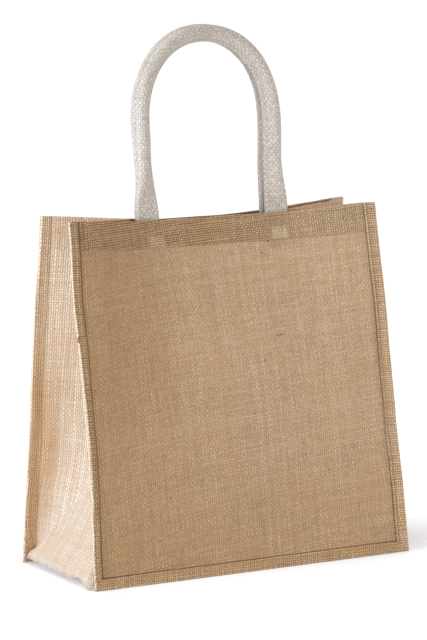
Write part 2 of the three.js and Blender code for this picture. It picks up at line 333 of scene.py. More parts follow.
juteYarn = {
    "pitch": (1.95, 1.97),  # warp across and weft along
    "wander": 1.3,
    "widthChange": 0.26,
    "relief": 0.45,
    "fibreRelief": 0.06,
    "streaks": 0.16,
    "grain": 0.45,
    "sheen": 0.12,
    "roughness": (0.95, 0.12),  # in a gap, and how much less on top of a thread
    "pressing": {"tone": 0.7, "depth": 0.8, "relief": 0.7},  # what a pressed place loses
    "lining": (0.7, 0.704),  # where the inner face begins in the baked picture
    "litInside": (1.15, 1.15, 1.15),
    "red": (0.45, 0.75),
    "redder": 0.3,
    # the darkest colour, of bark flecks, needle holes, dark seam lines and painted shade
    "bark": (0.1, 0.05, 0.025),
    "gap": (0.1, 0.7),
    "flecks": {"spread": (0.05, 0.032), "rare": (0.62, 0.7), "edge": (0.012, 0.03), "share": 0.8},
}


# zonesOf gives what changes over the piece: half, a thread's half width in pitches; warpLift, how far
# the warp stands above the weft; contrast, the shade of a thread's sides; open, the share of the gaps
# that shows, and gap, their colour; split, how far warp and weft differ; slant, how far the weft has
# shifted in mm; twist, the slanting shine of the spun yarn; smoothed, where the threads are pressed
# flat; tint, colour that also carries painted shade; worn, the share of the painted highlight on a lit
# fold; litLining, where painted light makes the inner face lighter; shade; dark, for needle holes, dark
# seam lines and painted shade in slits, creases and grooves; pucker in mm
def makeJute(name, look, zonesOf):
    r = Recipe(name)
    r.marks = look["marks"]
    u, v = r.places()
    yarn, pressing, flecks = juteYarn, juteYarn["pressing"], juteYarn["flecks"]
    zones = zonesOf(r, u, v, look)
    alongWarp, alongWeft = (r.channels(r.noise(slow, u, v)) for slow in ("warpSlow", "weftSlow"))
    a = (u + sway(alongWarp["Red"], yarn["wander"])) / yarn["pitch"][0]
    b = (v - zones["slant"] + sway(alongWeft["Red"], yarn["wander"])) / yarn["pitch"][1]
    warpHalf = zones["half"] + sway(alongWarp["Green"], yarn["widthChange"])
    weftHalf = zones["half"] - look["weftNarrower"] + sway(alongWeft["Green"], yarn["widthChange"])
    height, onTop, knuckle, own = plainWeave(r, a, b, warpHalf, weftHalf, zones["warpLift"])
    flat = zones["smoothed"]
    tone = between(alongWeft["Blue"], alongWarp["Blue"], onTop)
    fibre = between(r.noise("weftFibre", u, v), r.noise("warpFibre", u, v), onTop)
    cloud = r.noise("cloud", u, v)
    tone = sway(tone, look["slowChange"]) + sway(own, look["yarnChange"])
    tone = tone + sway(knuckle, look["knuckleChange"])
    tone = tone * (1 - flat * pressing["tone"]) + 0.5
    color = r.mix(r.step(tone, 0.0, 1.0), look["deep"], look["pale"])
    color = r.mix(r.step(cloud, *yarn["red"]) * yarn["redder"], color, look["red"])
    # painted shade on the inner face, inside the bag, and painted light where litLining lifts it
    inside = r.step(r.places("OFBake")[1], *yarn["lining"])
    color = r.tinted(color, r.mix(zones["litLining"], look["inside"], yarn["litInside"]), inside)
    color = r.tinted(color, r.mix(onTop, look["weft"], look["warp"]), zones["split"] * (1 - flat))
    color = r.tinted(color, zones["tint"])
    # painted highlight along a lit fold
    color = r.mix(zones["worn"], color, look["worn"])
    depth = 1 - (1 - height) * zones["contrast"] * (1 - flat * pressing["depth"])
    depth = depth * (1 + r.math("COSINE", (a - b) * math.pi) * zones["twist"])
    light = depth * (1 + sway(fibre, yarn["streaks"]) * 2)
    light = light * (1 + sway(r.noise("grain", u, v), yarn["grain"]))
    light = light * (1 + sway(cloud, look["cloudy"])) * (1 + sway(r.noise("stripe", u, v), look["striped"]))
    color = r.tinted(color, r.grey(light * zones["shade"]))
    gap = (1 - r.step(height, *yarn["gap"])) * zones["open"]
    color = r.mix(gap, color, zones["gap"])
    spot = r.join(u * flecks["spread"][0], v * flecks["spread"][1])
    cells = r.make("ShaderNodeTexVoronoi", {"voronoi_dimensions": "2D"},
                   {"Vector": spot, "Scale": 1.0, "Randomness": 1.0})
    bark = (1 - r.step(cells, *flecks["edge"])) * r.step(r.channels(cells)["Red"], *flecks["rare"])
    # bark flecks, needle holes, dark seam lines and painted shade in slits, creases and grooves
    color = r.mix(r.most(bark * flecks["share"], zones["dark"]), color, yarn["bark"])
    relief = height * yarn["relief"] * (1 - flat * pressing["relief"])
    relief = relief + fibre * yarn["fibreRelief"] + zones["pucker"]
    inGap, less = yarn["roughness"]
    return r.finish(color, inGap - less * height, relief, yarn["sheen"])


white = (1.0, 1.0, 1.0)
panelJute = {
    "pale": (0.733, 0.553, 0.35),
    "deep": (0.525, 0.36, 0.2),
    "red": (0.6, 0.37, 0.19),
    "warp": (1.0, 1.04, 1.12),
    "weft": (0.86, 0.76, 0.64),
    "slowChange": 0.2,
    "yarnChange": 0.35,
    "knuckleChange": 0.4,
    "weftNarrower": -0.015,
    # in the field and in the hem
    "Twist": (0.05, 0.17),
    "Lift": (0.03, -0.1),
    "Half": (0.44, 0.388),
    "Contrast": (0.54, 0.64),
    "Split": (0.27, 0.2),
    "Open": (0.5, 0.95),
    "Gap": ((0.4, 0.21, 0.1), (0.13, 0.065, 0.028)),
    "cloudy": 0.12,
    "striped": 0.08,
    "hemShade": (0.955, 1.02, 0.92),  # painted shade of the hem: on the left, in the middle and on the right
    # painted shade on the inner face, inside the bag
    "inside": (0.66, 0.54, 0.38),
    "worn": (0.8, 0.66, 0.47),
    "browner": (0.87, 0.79, 0.68),  # painted shade: the cloth is darker and browner toward its left edge and foot
    # over the handles' ends
    "pressed": {"left": (0.92, 0.917, 0.92), "right": (1.043, 1.075, 1.107)},
    "underEnd": 0.14,  # painted shadow: how much darker the cloth is just below the right handle's end
    # start and end of soft steps, or both ends and the softness of bands, in thread millimetres
    "marks": {
        "leftHalf": (-1.0, 1.0), "rightward": (-10.0, 90.0), "foot": (90.0, 170.0), "loose": (-90.0, -20.0),
        "hemMiddle": (-100.0, -40.0), "crease": (-20.0, 70.0), "lit": (20.0, 70.0), "pale": (-125.0, 30.0),
        "paleUp": (20.0, 130.0), "looseWeft": (0.45, 0.7), "dash": (0.2, 0.8, 0.15), "slit": (-0.7, 6.0, 0.4),
        "hemEnd": (-4.0, -3.3, 0.4), "aboveSlit": (1.2, 2.2, 0.5), "underEnd": (269.5, 274.6, 0.8),
        "underRight": (44.0, 78.0, 8.0),
    },
}
# soft boxes in thread millimetres, across and up, where a handle's end lies behind the hem
handleEnds = {"left": (-66.0, -52.5, 275.8, 285.0), "right": (51.0, 65.8, 276.0, 286.5)}
handleEndSoft = 1.6
# runs of the hem's lower seam whose stitches show, across
hemRuns = {"middle": (-50.0, -4.0), "right": (46.0, 108.0)}
hemSeam = {"height": 275.6, "pitch": 4.4, "topCrease": 296.0}


def panelZones(r, u, v, look):
    height, top = hemSeam["height"], hemSeam["topCrease"]
    hem = r.step(v, height - 0.6, height + 0.6)
    pressed = {}
    for name, (left, right, low, high) in handleEnds.items():
        pressed[name] = r.band(u, left, right, handleEndSoft) * r.band(v, low, high, handleEndSoft)
    ends = pressed["left"] + pressed["right"]
    weft = r.noise("loose", u, v)
    leftward = r.math("MINIMUM", u, 0.0)
    line = r.band(v, height - 0.55, height + 0.05, 0.35)
    dashes = r.within("dash", r.math("FRACT", u / hemSeam["pitch"]))
    shown = 0.0
    for left, right in hemRuns.values():
        shown = shown + r.band(u, left, right, 3.0)
    # painted shade in the crease near the top edge, toward the right
    crease = r.band(v, top - 0.3, top + 0.3, 0.4) * r.past("crease", u)
    underEnd = r.within("underEnd", v) * r.within("underRight", u) * look["underEnd"]

    def inHem(key):
        return between(*look[key], hem)

    # painted shadow: the dark line where the binding's edge lies on the panel
    fromSeam, fromBottom = r.places("binding")
    slit = r.within("slit", r.most(fromSeam, fromBottom * -1))
    hemEnd = r.within("hemEnd", fromSeam) * hem * (1 - r.past("leftHalf", u))
    # painted highlight: a light line just above the binding's lower edge
    aboveSlit = r.within("aboveSlit", fromBottom)
    onRight = r.past("rightward", u)
    rightHem = hem * onRight
    low = 1 - r.past("foot", v)
    looser = r.most(low, 1 - r.past("loose", u)) * (1 - hem)
    left, middle, right = look["hemShade"]
    # painted shade of the hem, darker on the left and the right than in the middle
    hemShading = left - 1 + r.past("hemMiddle", u) * (middle - left) + onRight * (right - middle)
    # painted shade, which lifts toward the right and upward and deepens in the hem
    paler = r.past("pale", u + sway(weft, 60) - hem * 100) * (0.45 + 0.55 * r.past("paleUp", v))
    tint = r.mix(paler, look["browner"], white)
    for name, share in pressed.items():
        tint = r.mix(share, tint, look["pressed"][name])
    shade = (1 + hem * hemShading) * (1 + low * (0.05 + onRight * 0.04)) * (1 + ends * 0.05)
    seamDark = line * (0.3 + shown * dashes * 0.5) + crease * 0.4
    edgeDark = r.most(slit * (0.58 - onRight * 0.1), hemEnd * 0.6)
    opened = inHem("Open") + r.past("looseWeft", weft) * 0.2 + looser * 0.3
    return {
        "half": inHem("Half"),
        "warpLift": inHem("Lift") + rightHem * 0.15,
        "contrast": inHem("Contrast") * (1 - rightHem * 0.4) * (1 + looser * 0.5),
        "split": inHem("Split"),
        "open": opened * (1 - rightHem * 0.35),
        "worn": 0.0,
        "slant": u * 0.04 - leftward * leftward * 0.0003,
        "twist": inHem("Twist") * (1 - rightHem * 0.5),
        "gap": r.mix(hem, *look["Gap"]),
        "tint": tint,
        "smoothed": r.math("MINIMUM", 0.15 * (1 - hem) + ends * 0.6, 1.0),
        "shade": shade * (1 + aboveSlit * 0.15) * (1 - underEnd),
        "dark": r.most(seamDark, edgeDark),
        "pucker": crease * -0.3 + line * -0.35,
        "litLining": hem * r.past("lit", u),
    }


gussetJute = {
    # the side's cloth is the panels' cloth, given paler colours as painted light of the lamp on the left; the
    # binding's outer faces are tinted darker and browner, like the panels
    "pale": (0.85, 0.783, 0.663),
    "deep": (0.685, 0.568, 0.428),
    "red": (0.72, 0.52, 0.35),
    "warp": (1.03, 1.05, 1.08),
    "weft": (0.95, 0.86, 0.77),
    "webGap": (0.52, 0.23, 0.06),
    "foldGap": (0.315, 0.13, 0.04),
    "faceGap": (0.14, 0.075, 0.035),
    "slowChange": 0.3,
    "yarnChange": 0.6,
    "knuckleChange": 0.35,
    "weftNarrower": 0.03,
    "lift": (0.1, -0.08),  # of the web and of the binding's outer faces
    "half": 0.4,
    "contrast": (0.22, 0.6),
    "open": (0.74, 0.85),
    "cloudy": 0.14,
    "striped": 0.12,
    "leftTint": (0.738, 0.539, 0.323),  # the binding's outer faces, as brown as the panels
    "bottomTint": (0.855, 0.652, 0.404),
    "rightTint": (1.03, 0.83, 0.605),
    "upperTint": (0.92, 0.875, 0.81),  # the sides, away from the foot
    # painted shade where the side turns into the flanges, low down, and lighter painted light high up
    "foldTint": ((0.9, 0.715, 0.515), (1.1, 1.02, 0.88)),
    "backShade": (0.72, 0.58, 0.42),  # painted shade on the cloth beside the back flange
    "stainFades": ((98.0, 120.0, 0.45), (140.0, 160.0, 0.35), (165.0, 190.0, 0.25)),
    "worn": (0.84, 0.715, 0.545),  # painted highlight along the binding's outer fold
    "wornShare": 0.7,
    "pressedTint": (0.825, 0.767, 0.694),
    "edgeLight": -0.12,
    # painted shade in the groove beside the binding's turned edge
    "groove": 0.5,
    # painted shade on the inner face, inside the bag
    "inside": (0.8, 0.66, 0.47),
    # start and end of soft steps, or both ends and the softness of bands, in thread millimetres
    "marks": {
        "flange": (14.0, 20.0), "face": (0.6, 1.9), "worn": (1.0, 2.0), "calm": (0.0, 20.0),
        "right": (285.0, 305.0), "edge": (-0.1, 1.2, 0.35), "groove": (1.3, 2.3, 0.35),
        "stitch": (0.16, 0.84, 0.08), "hemEnd": (-266.0, -263.0), "aboveFoot": (9.0, 12.0),
        "pressed": (-9.0, 5.0), "backHalf": (-2.0, 4.0), "middle": (-0.5, 1.9, 1.0),
        "underCrease": (2.0, 6.0), "nearCrease": (-4.0, 4.0), "frontHalf": (-4.0, 2.0),
        "lowFrom": (-120.0, -40.0), "lowTo": (30.0, 60.0),
        "backFold": (56.0, 67.0), "frontFold": (-56.0, -67.0), "upper": (150.0, 260.0), "rise": (50.0, 130.0),
        "across": (5.0, 36.0), "fall": (165.0, 188.0), "topmost": (228.0, 244.0), "foldTint": (120.0, 205.0),
        "slant": (62.0, 118.0, 24.0),
    },
}
# over each bottom corner the back half of the side is pressed smooth below its diagonal crease,
# which rises from the corner to the side's middle crease
corner = {"low": 8.0, "rise": 53.8, "across": 69.4, "curve": 2.2, "farSide": 303.2, "ease": 1.2}
# the painted shade beside the back flange: where it starts across, by height, and how it comes in upward
stain = {"start": 38, "foot": (10, 22.0, 66.0), "top": (8, 140.0, 165.0), "end": 59.0,
         "rise": ((8.0, 50.0, 0.8), (56.0, 80.0, 0.2))}
flangeSeam = {"fromEdge": 2.8, "pitch": 4.4}


def gussetZones(r, u, v, look):
    fromFold, fromSeam = r.places("binding")
    away = r.math("ABSOLUTE", fromFold)
    flange = 1 - r.past("flange", away)
    face = flange * r.past("face", fromFold)
    # painted highlight along the binding's outer fold, where the weave is also pressed smooth
    worn = (1 - r.past("worn", away)) * look["wornShare"]
    calm = r.past("calm", v)  # the foot and the right side
    onRight = r.past("right", v)
    edge, groove = (face * r.within(name, fromSeam) * onRight for name in ("edge", "groove"))
    seam = r.band(fromSeam, flangeSeam["fromEdge"] - 0.35, flangeSeam["fromEdge"] + 0.35, 0.3)
    stitched = r.within("stitch", r.math("FRACT", v / flangeSeam["pitch"]))
    holes = seam * (1 - stitched * (1 - (1 - r.past("hemEnd", v)) * 0.7))
    height = r.most(v * -1, v - corner["farSide"]) / corner["ease"] + 9.5
    diagonal = r.math("POWER", r.most(1 - u / corner["across"], 0.0), corner["curve"])
    below = corner["low"] + diagonal * corner["rise"] - height
    onSide = r.past("aboveFoot", height) * (1 - flange)
    pressed = r.past("pressed", below) * r.past("backHalf", u) * onSide
    middle = r.within("middle", u) * r.past("underCrease", below) * onSide
    frontHalf = r.past("nearCrease", below) * (1 - r.past("frontHalf", u)) * onSide
    low = r.past("lowFrom", v) * (1 - r.past("lowTo", v))
    inFold = (1 - flange) * r.most(r.past("backFold", u), r.past("frontFold", u) * (1 - low))
    folded = r.most(flange, inFold)
    upperShare = r.past("rise", height) * (0.3 + 0.7 * r.past("across", u))
    upperShare = upperShare * (1 - r.past("fall", height) * 0.9)
    tint = r.mix(r.most(upperShare, r.past("topmost", height)), white, look["upperTint"])
    (footBy, *foot), (topBy, *top) = stain["foot"], stain["top"]
    shadeStart = stain["start"] + footBy * (1 - r.step(height, *foot)) + topBy * r.step(height, *top)
    # painted shade beside the back flange
    backShaded = 1
    for start, end, share in look["stainFades"]:
        backShaded = backShaded - share * r.step(height, start, end)
    rise = [r.step(height, start, end) * share for start, end, share in stain["rise"]]
    backShaded = backShaded * (rise[0] + rise[1]) * r.step(u, shadeStart, stain["end"]) * (1 - flange)
    tint = r.mix(backShaded, tint, r.tinted(tint, look["backShade"]))
    tint = r.mix(folded, tint, r.mix(r.past("foldTint", height), *look["foldTint"]))
    tint = r.mix(pressed, tint, look["pressedTint"])
    faceTint = r.mix(onRight, r.mix(calm, look["leftTint"], look["bottomTint"]), look["rightTint"])
    tint = r.mix(face, tint, faceTint)
    # the binding's outer faces are a little less open and deep away from the left side
    eased = 1 - calm * 0.15
    (webContrast, faceContrast), (webOpen, faceOpen) = look["contrast"], look["open"]
    opened = webOpen + flange * (faceOpen * eased - webOpen)
    return {
        "half": look["half"],
        "warpLift": between(*look["lift"], face),
        "contrast": webContrast + face * (faceContrast * eased - webContrast),
        "split": 0.6 - 0.35 * face,
        "open": opened * (1 + frontHalf * 0.2 + r.past("upper", height) * 0.35 - pressed * 0.75),
        "slant": u * r.within("slant", height) * -0.055,
        "twist": 0.02 + face * 0.06,
        "gap": r.mix(face, r.mix(folded, look["webGap"], look["foldGap"]), look["faceGap"]),
        "tint": r.mix(worn, tint, white),
        "worn": worn,
        "smoothed": r.most(pressed * 0.85, r.most(worn, middle) * 0.5),
        # painted highlight along the side's middle crease; edgeLight darkens the binding's turned edge
        "shade": 1 + edge * look["edgeLight"] + middle * 0.07,
        "dark": r.most(holes * (0.06 + face * 0.74), groove * look["groove"]),
        "pucker": middle * 0.3 - holes * 0.3,
        "litLining": 0.0,
    }


cottonYarn = {
    "pale": (0.72, 0.665, 0.585),
    "deep": (0.55, 0.495, 0.42),
    "gap": (0.2, 0.15, 0.1),
    "cleft": (0.16, 0.1, 0.07),
    "warpTone": 1.04,
    "weftTone": 0.88,
    "seam": 1.9,  # threads from the notch to the row of stitches
    "holePitch": 1.65,
    "relief": 0.12,
    "sheen": 0.15,
    "half": 0.5,
    "warpLift": 0.06,
    "holeHalf": 0.12,
    # in threads across from the notch and along the handle, or in shares of a pattern
    "marks": {
        "paler": (0.3, 0.7), "crown": (62.0, 114.0, 26.0), "depth": (0.2, 0.92), "stain": (0.55, 0.75),
        "stitch": (0.14, 0.86, 0.08), "notch": (0.15, 0.6),
    },
}


def makeCotton(name, look, count):
    r = Recipe(name)
    r.marks = look["marks"]
    u, v = r.places()
    height, onTop = plainWeave(r, u, v, look["half"], look["half"], look["warpLift"])[:2]
    color = r.mix(r.past("paler", r.noise("cottonTone", u, v)), look["deep"], look["pale"])
    # painted shade: the handle's crown is darker than its legs, with more of its gaps showing dark
    crown = r.within("crown", v)
    color = r.tinted(color, r.grey(1.04 - crown * 0.1))
    color = r.tinted(color, r.grey(between(look["weftTone"], look["warpTone"], onTop)))
    color = r.mix((1 - r.past("depth", height)) * (0.55 + crown * 0.1), color, look["gap"])
    color = r.mix(r.past("stain", r.noise("cottonStain", u, v)) * 0.15, color, look["gap"])
    fromNotch = r.math("MINIMUM", u, count - u)
    wide = look["holeHalf"]
    holes = r.band(fromNotch, look["seam"] - wide, look["seam"] + wide, wide)
    holes = holes * (1 - r.within("stitch", r.math("FRACT", v / look["holePitch"])))
    color = r.mix(r.most(1 - r.past("notch", fromNotch), holes * 0.8), color, look["cleft"])
    relief = height * look["relief"] + r.noise("cottonFuzz", u, v) * 0.12 - holes * 0.2
    return r.finish(color, 0.92 - 0.06 * height, relief, look["sheen"])


sewing = {
    "jute": {"pale": (0.62, 0.46, 0.28), "deep": (0.38, 0.25, 0.13)},
    "pale jute": {"pale": (0.84, 0.76, 0.62), "deep": (0.66, 0.54, 0.4)},
    "cotton": {"pale": (0.8, 0.75, 0.67), "deep": (0.56, 0.5, 0.42)},
    "fibre": {"pale": (0.86, 0.72, 0.5), "deep": (0.6, 0.42, 0.24)},
    "bark": {"pale": (0.26, 0.15, 0.085), "deep": (0.1, 0.05, 0.028)},
    "curl": {"pale": (0.5, 0.3, 0.15), "deep": (0.28, 0.15, 0.07)},
}


# Spun thread: u goes round it and v along it, in millimetres
def makeThread(name, look):
    r = Recipe(name)
    u, v = r.places()
    twist = r.math("SINE", (u * 1.6 + v * 1.3) * math.pi)
    tone = r.noise("threadTone", u, v)
    color = r.mix(r.step(tone + twist * 0.12, 0.25, 0.75), look["deep"], look["pale"])
    return r.finish(color, 0.92 - tone * 0.08, twist * 0.05, 0.1)


# Form of the bag, in millimetres

body = {
    "top": 299.0,
    "halfWidth": (148.6, 144.1),
    "halfDepth": (69.0, 26.8),
    "sideSwell": 0.7,
    "sideFlange": 10.9,
    "frontLower": 1.0,
    "seamHeight": 9.5,
    "cloth": 1.05,
    "layer": 1.2,
    "edgeRoom": 0.4,
    "seamShift": {"frontRight": 1.0, "backLeft": 1.0, "backRight": 0.0},
    "leftFlange": {"height": (0, 150, 190, 299), "width": (4.3, 4.3, 5.2, 5.2)},  # on the front's left
    # how far the front panel's left edge is drawn in at some heights
    "drawnIn": {"height": (0, 30, 45, 75, 110, 150, 180, 200, 235, 299),
                "inward": (0.2, 0.2, 1.1, 2.9, 3.0, 1.8, 0.8, 0.6, -0.3, -0.5)},
    "flare": {"slope": 0.34, "low": 14, "full": 95, "fade": 130, "gone": 225},
    "belly": 6.0,
    # soft troughs, and ridges where the depth is negative: start, end, width, depth
    "frontCreases": (
        ((-66, 255), (-112, 158), 14, 1.6), ((-112, 158), (-103, 94), 13, 1.3),
        ((-13, 250), (-15, 190), 5, 0.5), ((85, 262), (78, 195), 5, 0.5), ((-27, 250), (-27, 190), 6, -0.5),
        ((104, 168), (104, 132), 12, -0.7), ((62, 95), (112, 78), 26, 1.0), ((-40, 60), (20, 48), 18, -0.5),
    ),
    "backCreases": (
        ((72, 246), (104, 130), 14, 1.5), ((-82, 215), (-58, 96), 16, -1.1), ((-18, 252), (-9, 178), 6, 0.6),
        ((30, 240), (34, 196), 5, 0.4), ((-20, 66), (48, 54), 20, 0.7),
    ),
    "mouthFront": {"pinch": 17.3, "sag": 3.1},
    "mouthBack": {"pinch": 18.3, "sag": 5.2},
    # how much less the back's top edge sags at some places across
    "backLift": {
        "across": (-144, -131, -120, -108, -90, -72, -60, -48, 15, 30, 45, 60, 75, 90, 105, 118, 131, 144),
        "by": (0, -0.9, -0.8, -0.3, 0.5, 1.4, 0.8, 0, 0, 0.6, 1.6, 2.5, 2.6, 1.9, 0.9, -0.3, -0.9, 0),
    },
    "mouthEasing": 0.57,
    "mouthRate": 1.6,
    "cornerDip": 1.5,
    "cornerEasing": 0.2,
    "hemDepth": 25.0,
}
half = body["cloth"] / 2
foldHeight = body["layer"] * math.cos(math.pi / 10) + half
hemStart = body["top"] - body["hemDepth"]


def riseAndFade(zone, z):
    return smooth(zone["low"], zone["full"], z) * (1 - smooth(zone["fade"], zone["gone"], z))


def panelHalf(z):
    h = z / body["top"]
    return between(*body["halfWidth"], h) + body["sideSwell"] * np.sin(np.pi * h)


def panelEdge(side, sign, z):
    inward = np.interp(z, body["drawnIn"]["height"], body["drawnIn"]["inward"])
    return panelHalf(z) - np.where((side < 0) & (np.asarray(sign) < 0), inward, 0)


def seamHalf(z):
    return panelHalf(z) - body["sideFlange"]


def shiftOf(side, x, z):
    right = body["seamShift"]["frontRight" if side < 0 else "backRight"]
    left = body["seamShift"]["backLeft"]
    if side < 0:
        wide = np.interp(z, body["leftFlange"]["height"], body["leftFlange"]["width"])
        left = panelEdge(side, -1, z) - seamHalf(z) - wide
    return np.where(np.asarray(x) < 0, left, right)


def mouthOf(side):
    return body["mouthFront" if side < 0 else "mouthBack"]


# A long soft trough (or ridge, with a negative depth) pressed into cloth between two spots
def trough(u, v, start, end, width, depth):
    (au, av), (bu, bv) = start, end
    length = math.hypot(bu - au, bv - av)
    du, dv = (bu - au) / length, (bv - av) / length
    along = ((u - au) * du + (v - av) * dv) / length
    aside = (u - au) * -dv + (v - av) * du
    ends = smooth(-0.25, 0.15, along) * (1 - smooth(0.85, 1.25, along))
    return depth * ends * np.exp(-aside ** 2 / (2 * width ** 2))


def panelDepth(side, x, z):
    h = np.clip(z / body["top"], 0, None)
    s = np.clip(np.abs(x) / seamHalf(z), 0, 1)
    inward = mouthOf(side)["pinch"] * smooth(0, body["mouthEasing"], 1 - s) * h ** body["mouthRate"]
    outward = body["belly"] * np.sin(np.pi * np.clip(h, 0, 1)) ** 2 * (1 - s * s) ** 2
    for crease in body["frontCreases" if side < 0 else "backCreases"]:
        outward = outward - trough(x, z, *crease) * smooth(0, 0.12, 1 - s)
    y = side * (between(*body["halfDepth"], h) - inward + outward)
    if side < 0:
        past = np.clip(-x - seamHalf(z) - shiftOf(side, x, z), 0, None)
        y = y - body["flare"]["slope"] * riseAndFade(body["flare"], z) * past
    return y


def liftOf(x):
    return np.interp(x, body["backLift"]["across"], body["backLift"]["by"])


def panelDrop(side, x, z):
    s = np.clip(np.abs(x) / seamHalf(z), 0, 1)
    drop = body["cornerDip"] * smooth(0, body["cornerEasing"], 1 - s)
    drop = drop + mouthOf(side)["sag"] * smooth(0, body["mouthEasing"], 1 - s)
    if side > 0:
        drop = drop - liftOf(x)
    return (drop + (body["frontLower"] if side < 0 else 0)) * (z / body["top"]) ** 2


# The level direction that a panel faces
def panelFacing(side, x, z):
    step = 0.05
    slope = (panelDepth(side, x + step, z) - panelDepth(side, x - step, z)) / (2 * step)
    length = np.hypot(1, slope)
    return np.stack([-side * slope / length, side / length, slope * 0], -1)


# Points some distance in front of the middle of a panel's cloth
def onPanel(side, x, z, away):
    middle = np.stack([x, panelDepth(side, x, z), z - panelDrop(side, x, z)], -1)
    return middle + panelFacing(side, x, z) * np.asarray(away)[..., None]


# Small unevenness of the hung cloth, one field for all the pieces, so that they keep their places
swell = {"size": 0.2, "waves": 9, "longest": 110.0, "shortest": 26.0}


def makeSwell():
    turns = dice.uniform(0, 2 * math.pi, (swell["waves"], 2))
    lengths = np.geomspace(swell["longest"], swell["shortest"], swell["waves"])
    directions = unit(dice.normal(size=(swell["waves"], 3)))
    pushes = dice.normal(size=(swell["waves"], 3)) * (1, 1, 0.3)
    return lengths, directions, pushes, turns[:, 0]


swellWaves = makeSwell()


def unevenly(points):
    moved = np.array(points, dtype=float)
    steady = smooth(4, 40, moved[..., 2])
    shift = np.zeros_like(moved)
    for length, direction, push, turn in zip(*swellWaves):
        wave = np.sin(2 * math.pi / length * (moved @ direction) + turn)
        shift += wave[..., None] * push * swell["size"] * length / swell["longest"]
    return moved + shift * steady[..., None]


# Mesh building


def gridFaces(rows, columns, first=0, closed=False):
    r, c = np.meshgrid(np.arange(rows - 1), np.arange(columns if closed else columns - 1), indexing="ij")
    a = first + r * columns + c
    b = first + r * columns + (c + 1) % columns
    return np.stack([a, b, b + columns, a + columns], -1).reshape(-1, 4)


def addPiece(name, points, faces, maps, material, replaces=()):
    mesh = bpy.data.meshes.new(name)
    mesh.from_pydata((unevenly(points) * mm).tolist(), [], [tuple(f) for f in faces])
    for label, values in maps.items():
        layer = mesh.uv_layers.new(name=label)
        layer.data.foreach_set("uv", np.asarray(values, dtype=np.float32).ravel())
    mesh.polygons.foreach_set("use_smooth", [True] * len(mesh.polygons))
    mesh.materials.append(material)
    piece = addObject(name, mesh)
    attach(piece, "root")
    if replaces:
        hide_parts(*replaces)
    print(name, len(mesh.polygons), "faces")
    return piece


# A closed sheet of cloth between two matching grids of points. threads holds each face's thread
# coordinates in millimetres, one set for the lower row of a band and one for its upper row, and
# layout its place in the baked picture in the same way.
def addSheet(name, outer, inner, threads, layout, material, node, outward, binding=None):
    rows, columns = outer.shape[:2]
    count = rows * columns
    faces = gridFaces(rows, columns)
    low = np.arange(columns - 1)
    high = low + (rows - 1) * columns
    up = np.arange(rows - 1) * columns
    last = up + columns - 1
    rimFaces = np.concatenate([
        np.stack([low, low + count, low + 1 + count, low + 1], -1),
        np.stack([high, high + 1, high + 1 + count, high + count], -1),
        np.stack([up, up + columns, up + columns + count, up + count], -1),
        np.stack([last, last + count, last + columns + count, last + columns], -1),
    ])
    allFaces = np.concatenate([faces, faces[:, ::-1] + count, rimFaces])
    r, c = np.meshgrid(np.arange(rows - 1), np.arange(columns - 1), indexing="ij")

    def spread(lower, upper):
        onFaces = np.stack([lower[r, c], lower[r, c + 1], upper[r, c + 1], upper[r, c]], 2).reshape(-1, 4, 2)
        whole = np.concatenate([lower, upper[-1:]]).reshape(-1, 2)
        return np.concatenate([onFaces, onFaces[:, ::-1], whole[rimFaces % count]])

    weave, bake = spread(*threads), spread(*layout)
    front = np.arange(len(allFaces)) < len(faces)
    bake[front] = bake[front] * (1, 0.7)
    bake[~front] = bake[~front] * (1, 0.29) + (0, 0.705)
    bake[2 * len(faces):] = bake[2 * len(faces):, :1]
    maps = {"threads": weave, "OFBake": bake}
    if binding is not None:
        maps["binding"] = binding.reshape(-1, 2)[allFaces % count]
    if not outward:
        allFaces = allFaces[:, ::-1]
        maps = {label: values[:, ::-1] for label, values in maps.items()}
    points = np.concatenate([outer.reshape(-1, 3), inner.reshape(-1, 3)])
    return addPiece(name, points, allFaces, maps, material, (node,))


# Front and back panels

panel = {
    "hemStep": 0.5,
    "hemExtra": 1.4,
    "hemFromSeam": 8.0,
    "rimRadius": 1.0,
    "widerSlit": 1.6,  # on the front's left
}


def panelRows():
    field = np.linspace(foldHeight + body["edgeRoom"], hemStart - 5, 102)
    hemEdge = np.arange(hemStart - 4.2, hemStart + 4.5, 0.7)
    hem = np.linspace(hemStart + 6, body["top"] - 6, 7)
    lip = np.linspace(body["top"] - 5.4, body["top"] - panel["rimRadius"], 8)
    rim = body["top"] - panel["rimRadius"] * (1 - np.sin(np.linspace(0.35, math.pi / 2, 4)))
    return np.concatenate([field, hemEdge, hem, lip, rim])


# How much of its thickness the cloth keeps where its top edge is rounded
def rimShare(z):
    past = np.clip((z - body["top"] + panel["rimRadius"]) / panel["rimRadius"], 0, 1)
    return np.sqrt(1 - 0.96 * past ** 2)


def panelColumns(side, z):
    inField = np.concatenate([np.linspace(0, 0.93, 50), np.linspace(0.936, 0.996, 10)])
    flange = np.linspace(0, 1, 6)
    parts = []
    for sign in (-1, 1):
        seam = seamHalf(z) + shiftOf(side, sign, z)
        edge = panelEdge(side, sign, z) - body["edgeRoom"]
        outerPart = between(seam[:, None], edge[:, None], flange)
        fieldPart = seam[:, None] * inField
        parts.append(sign * np.concatenate([fieldPart, outerPart], 1))
    return np.concatenate([parts[0][:, :0:-1], parts[1]], 1)


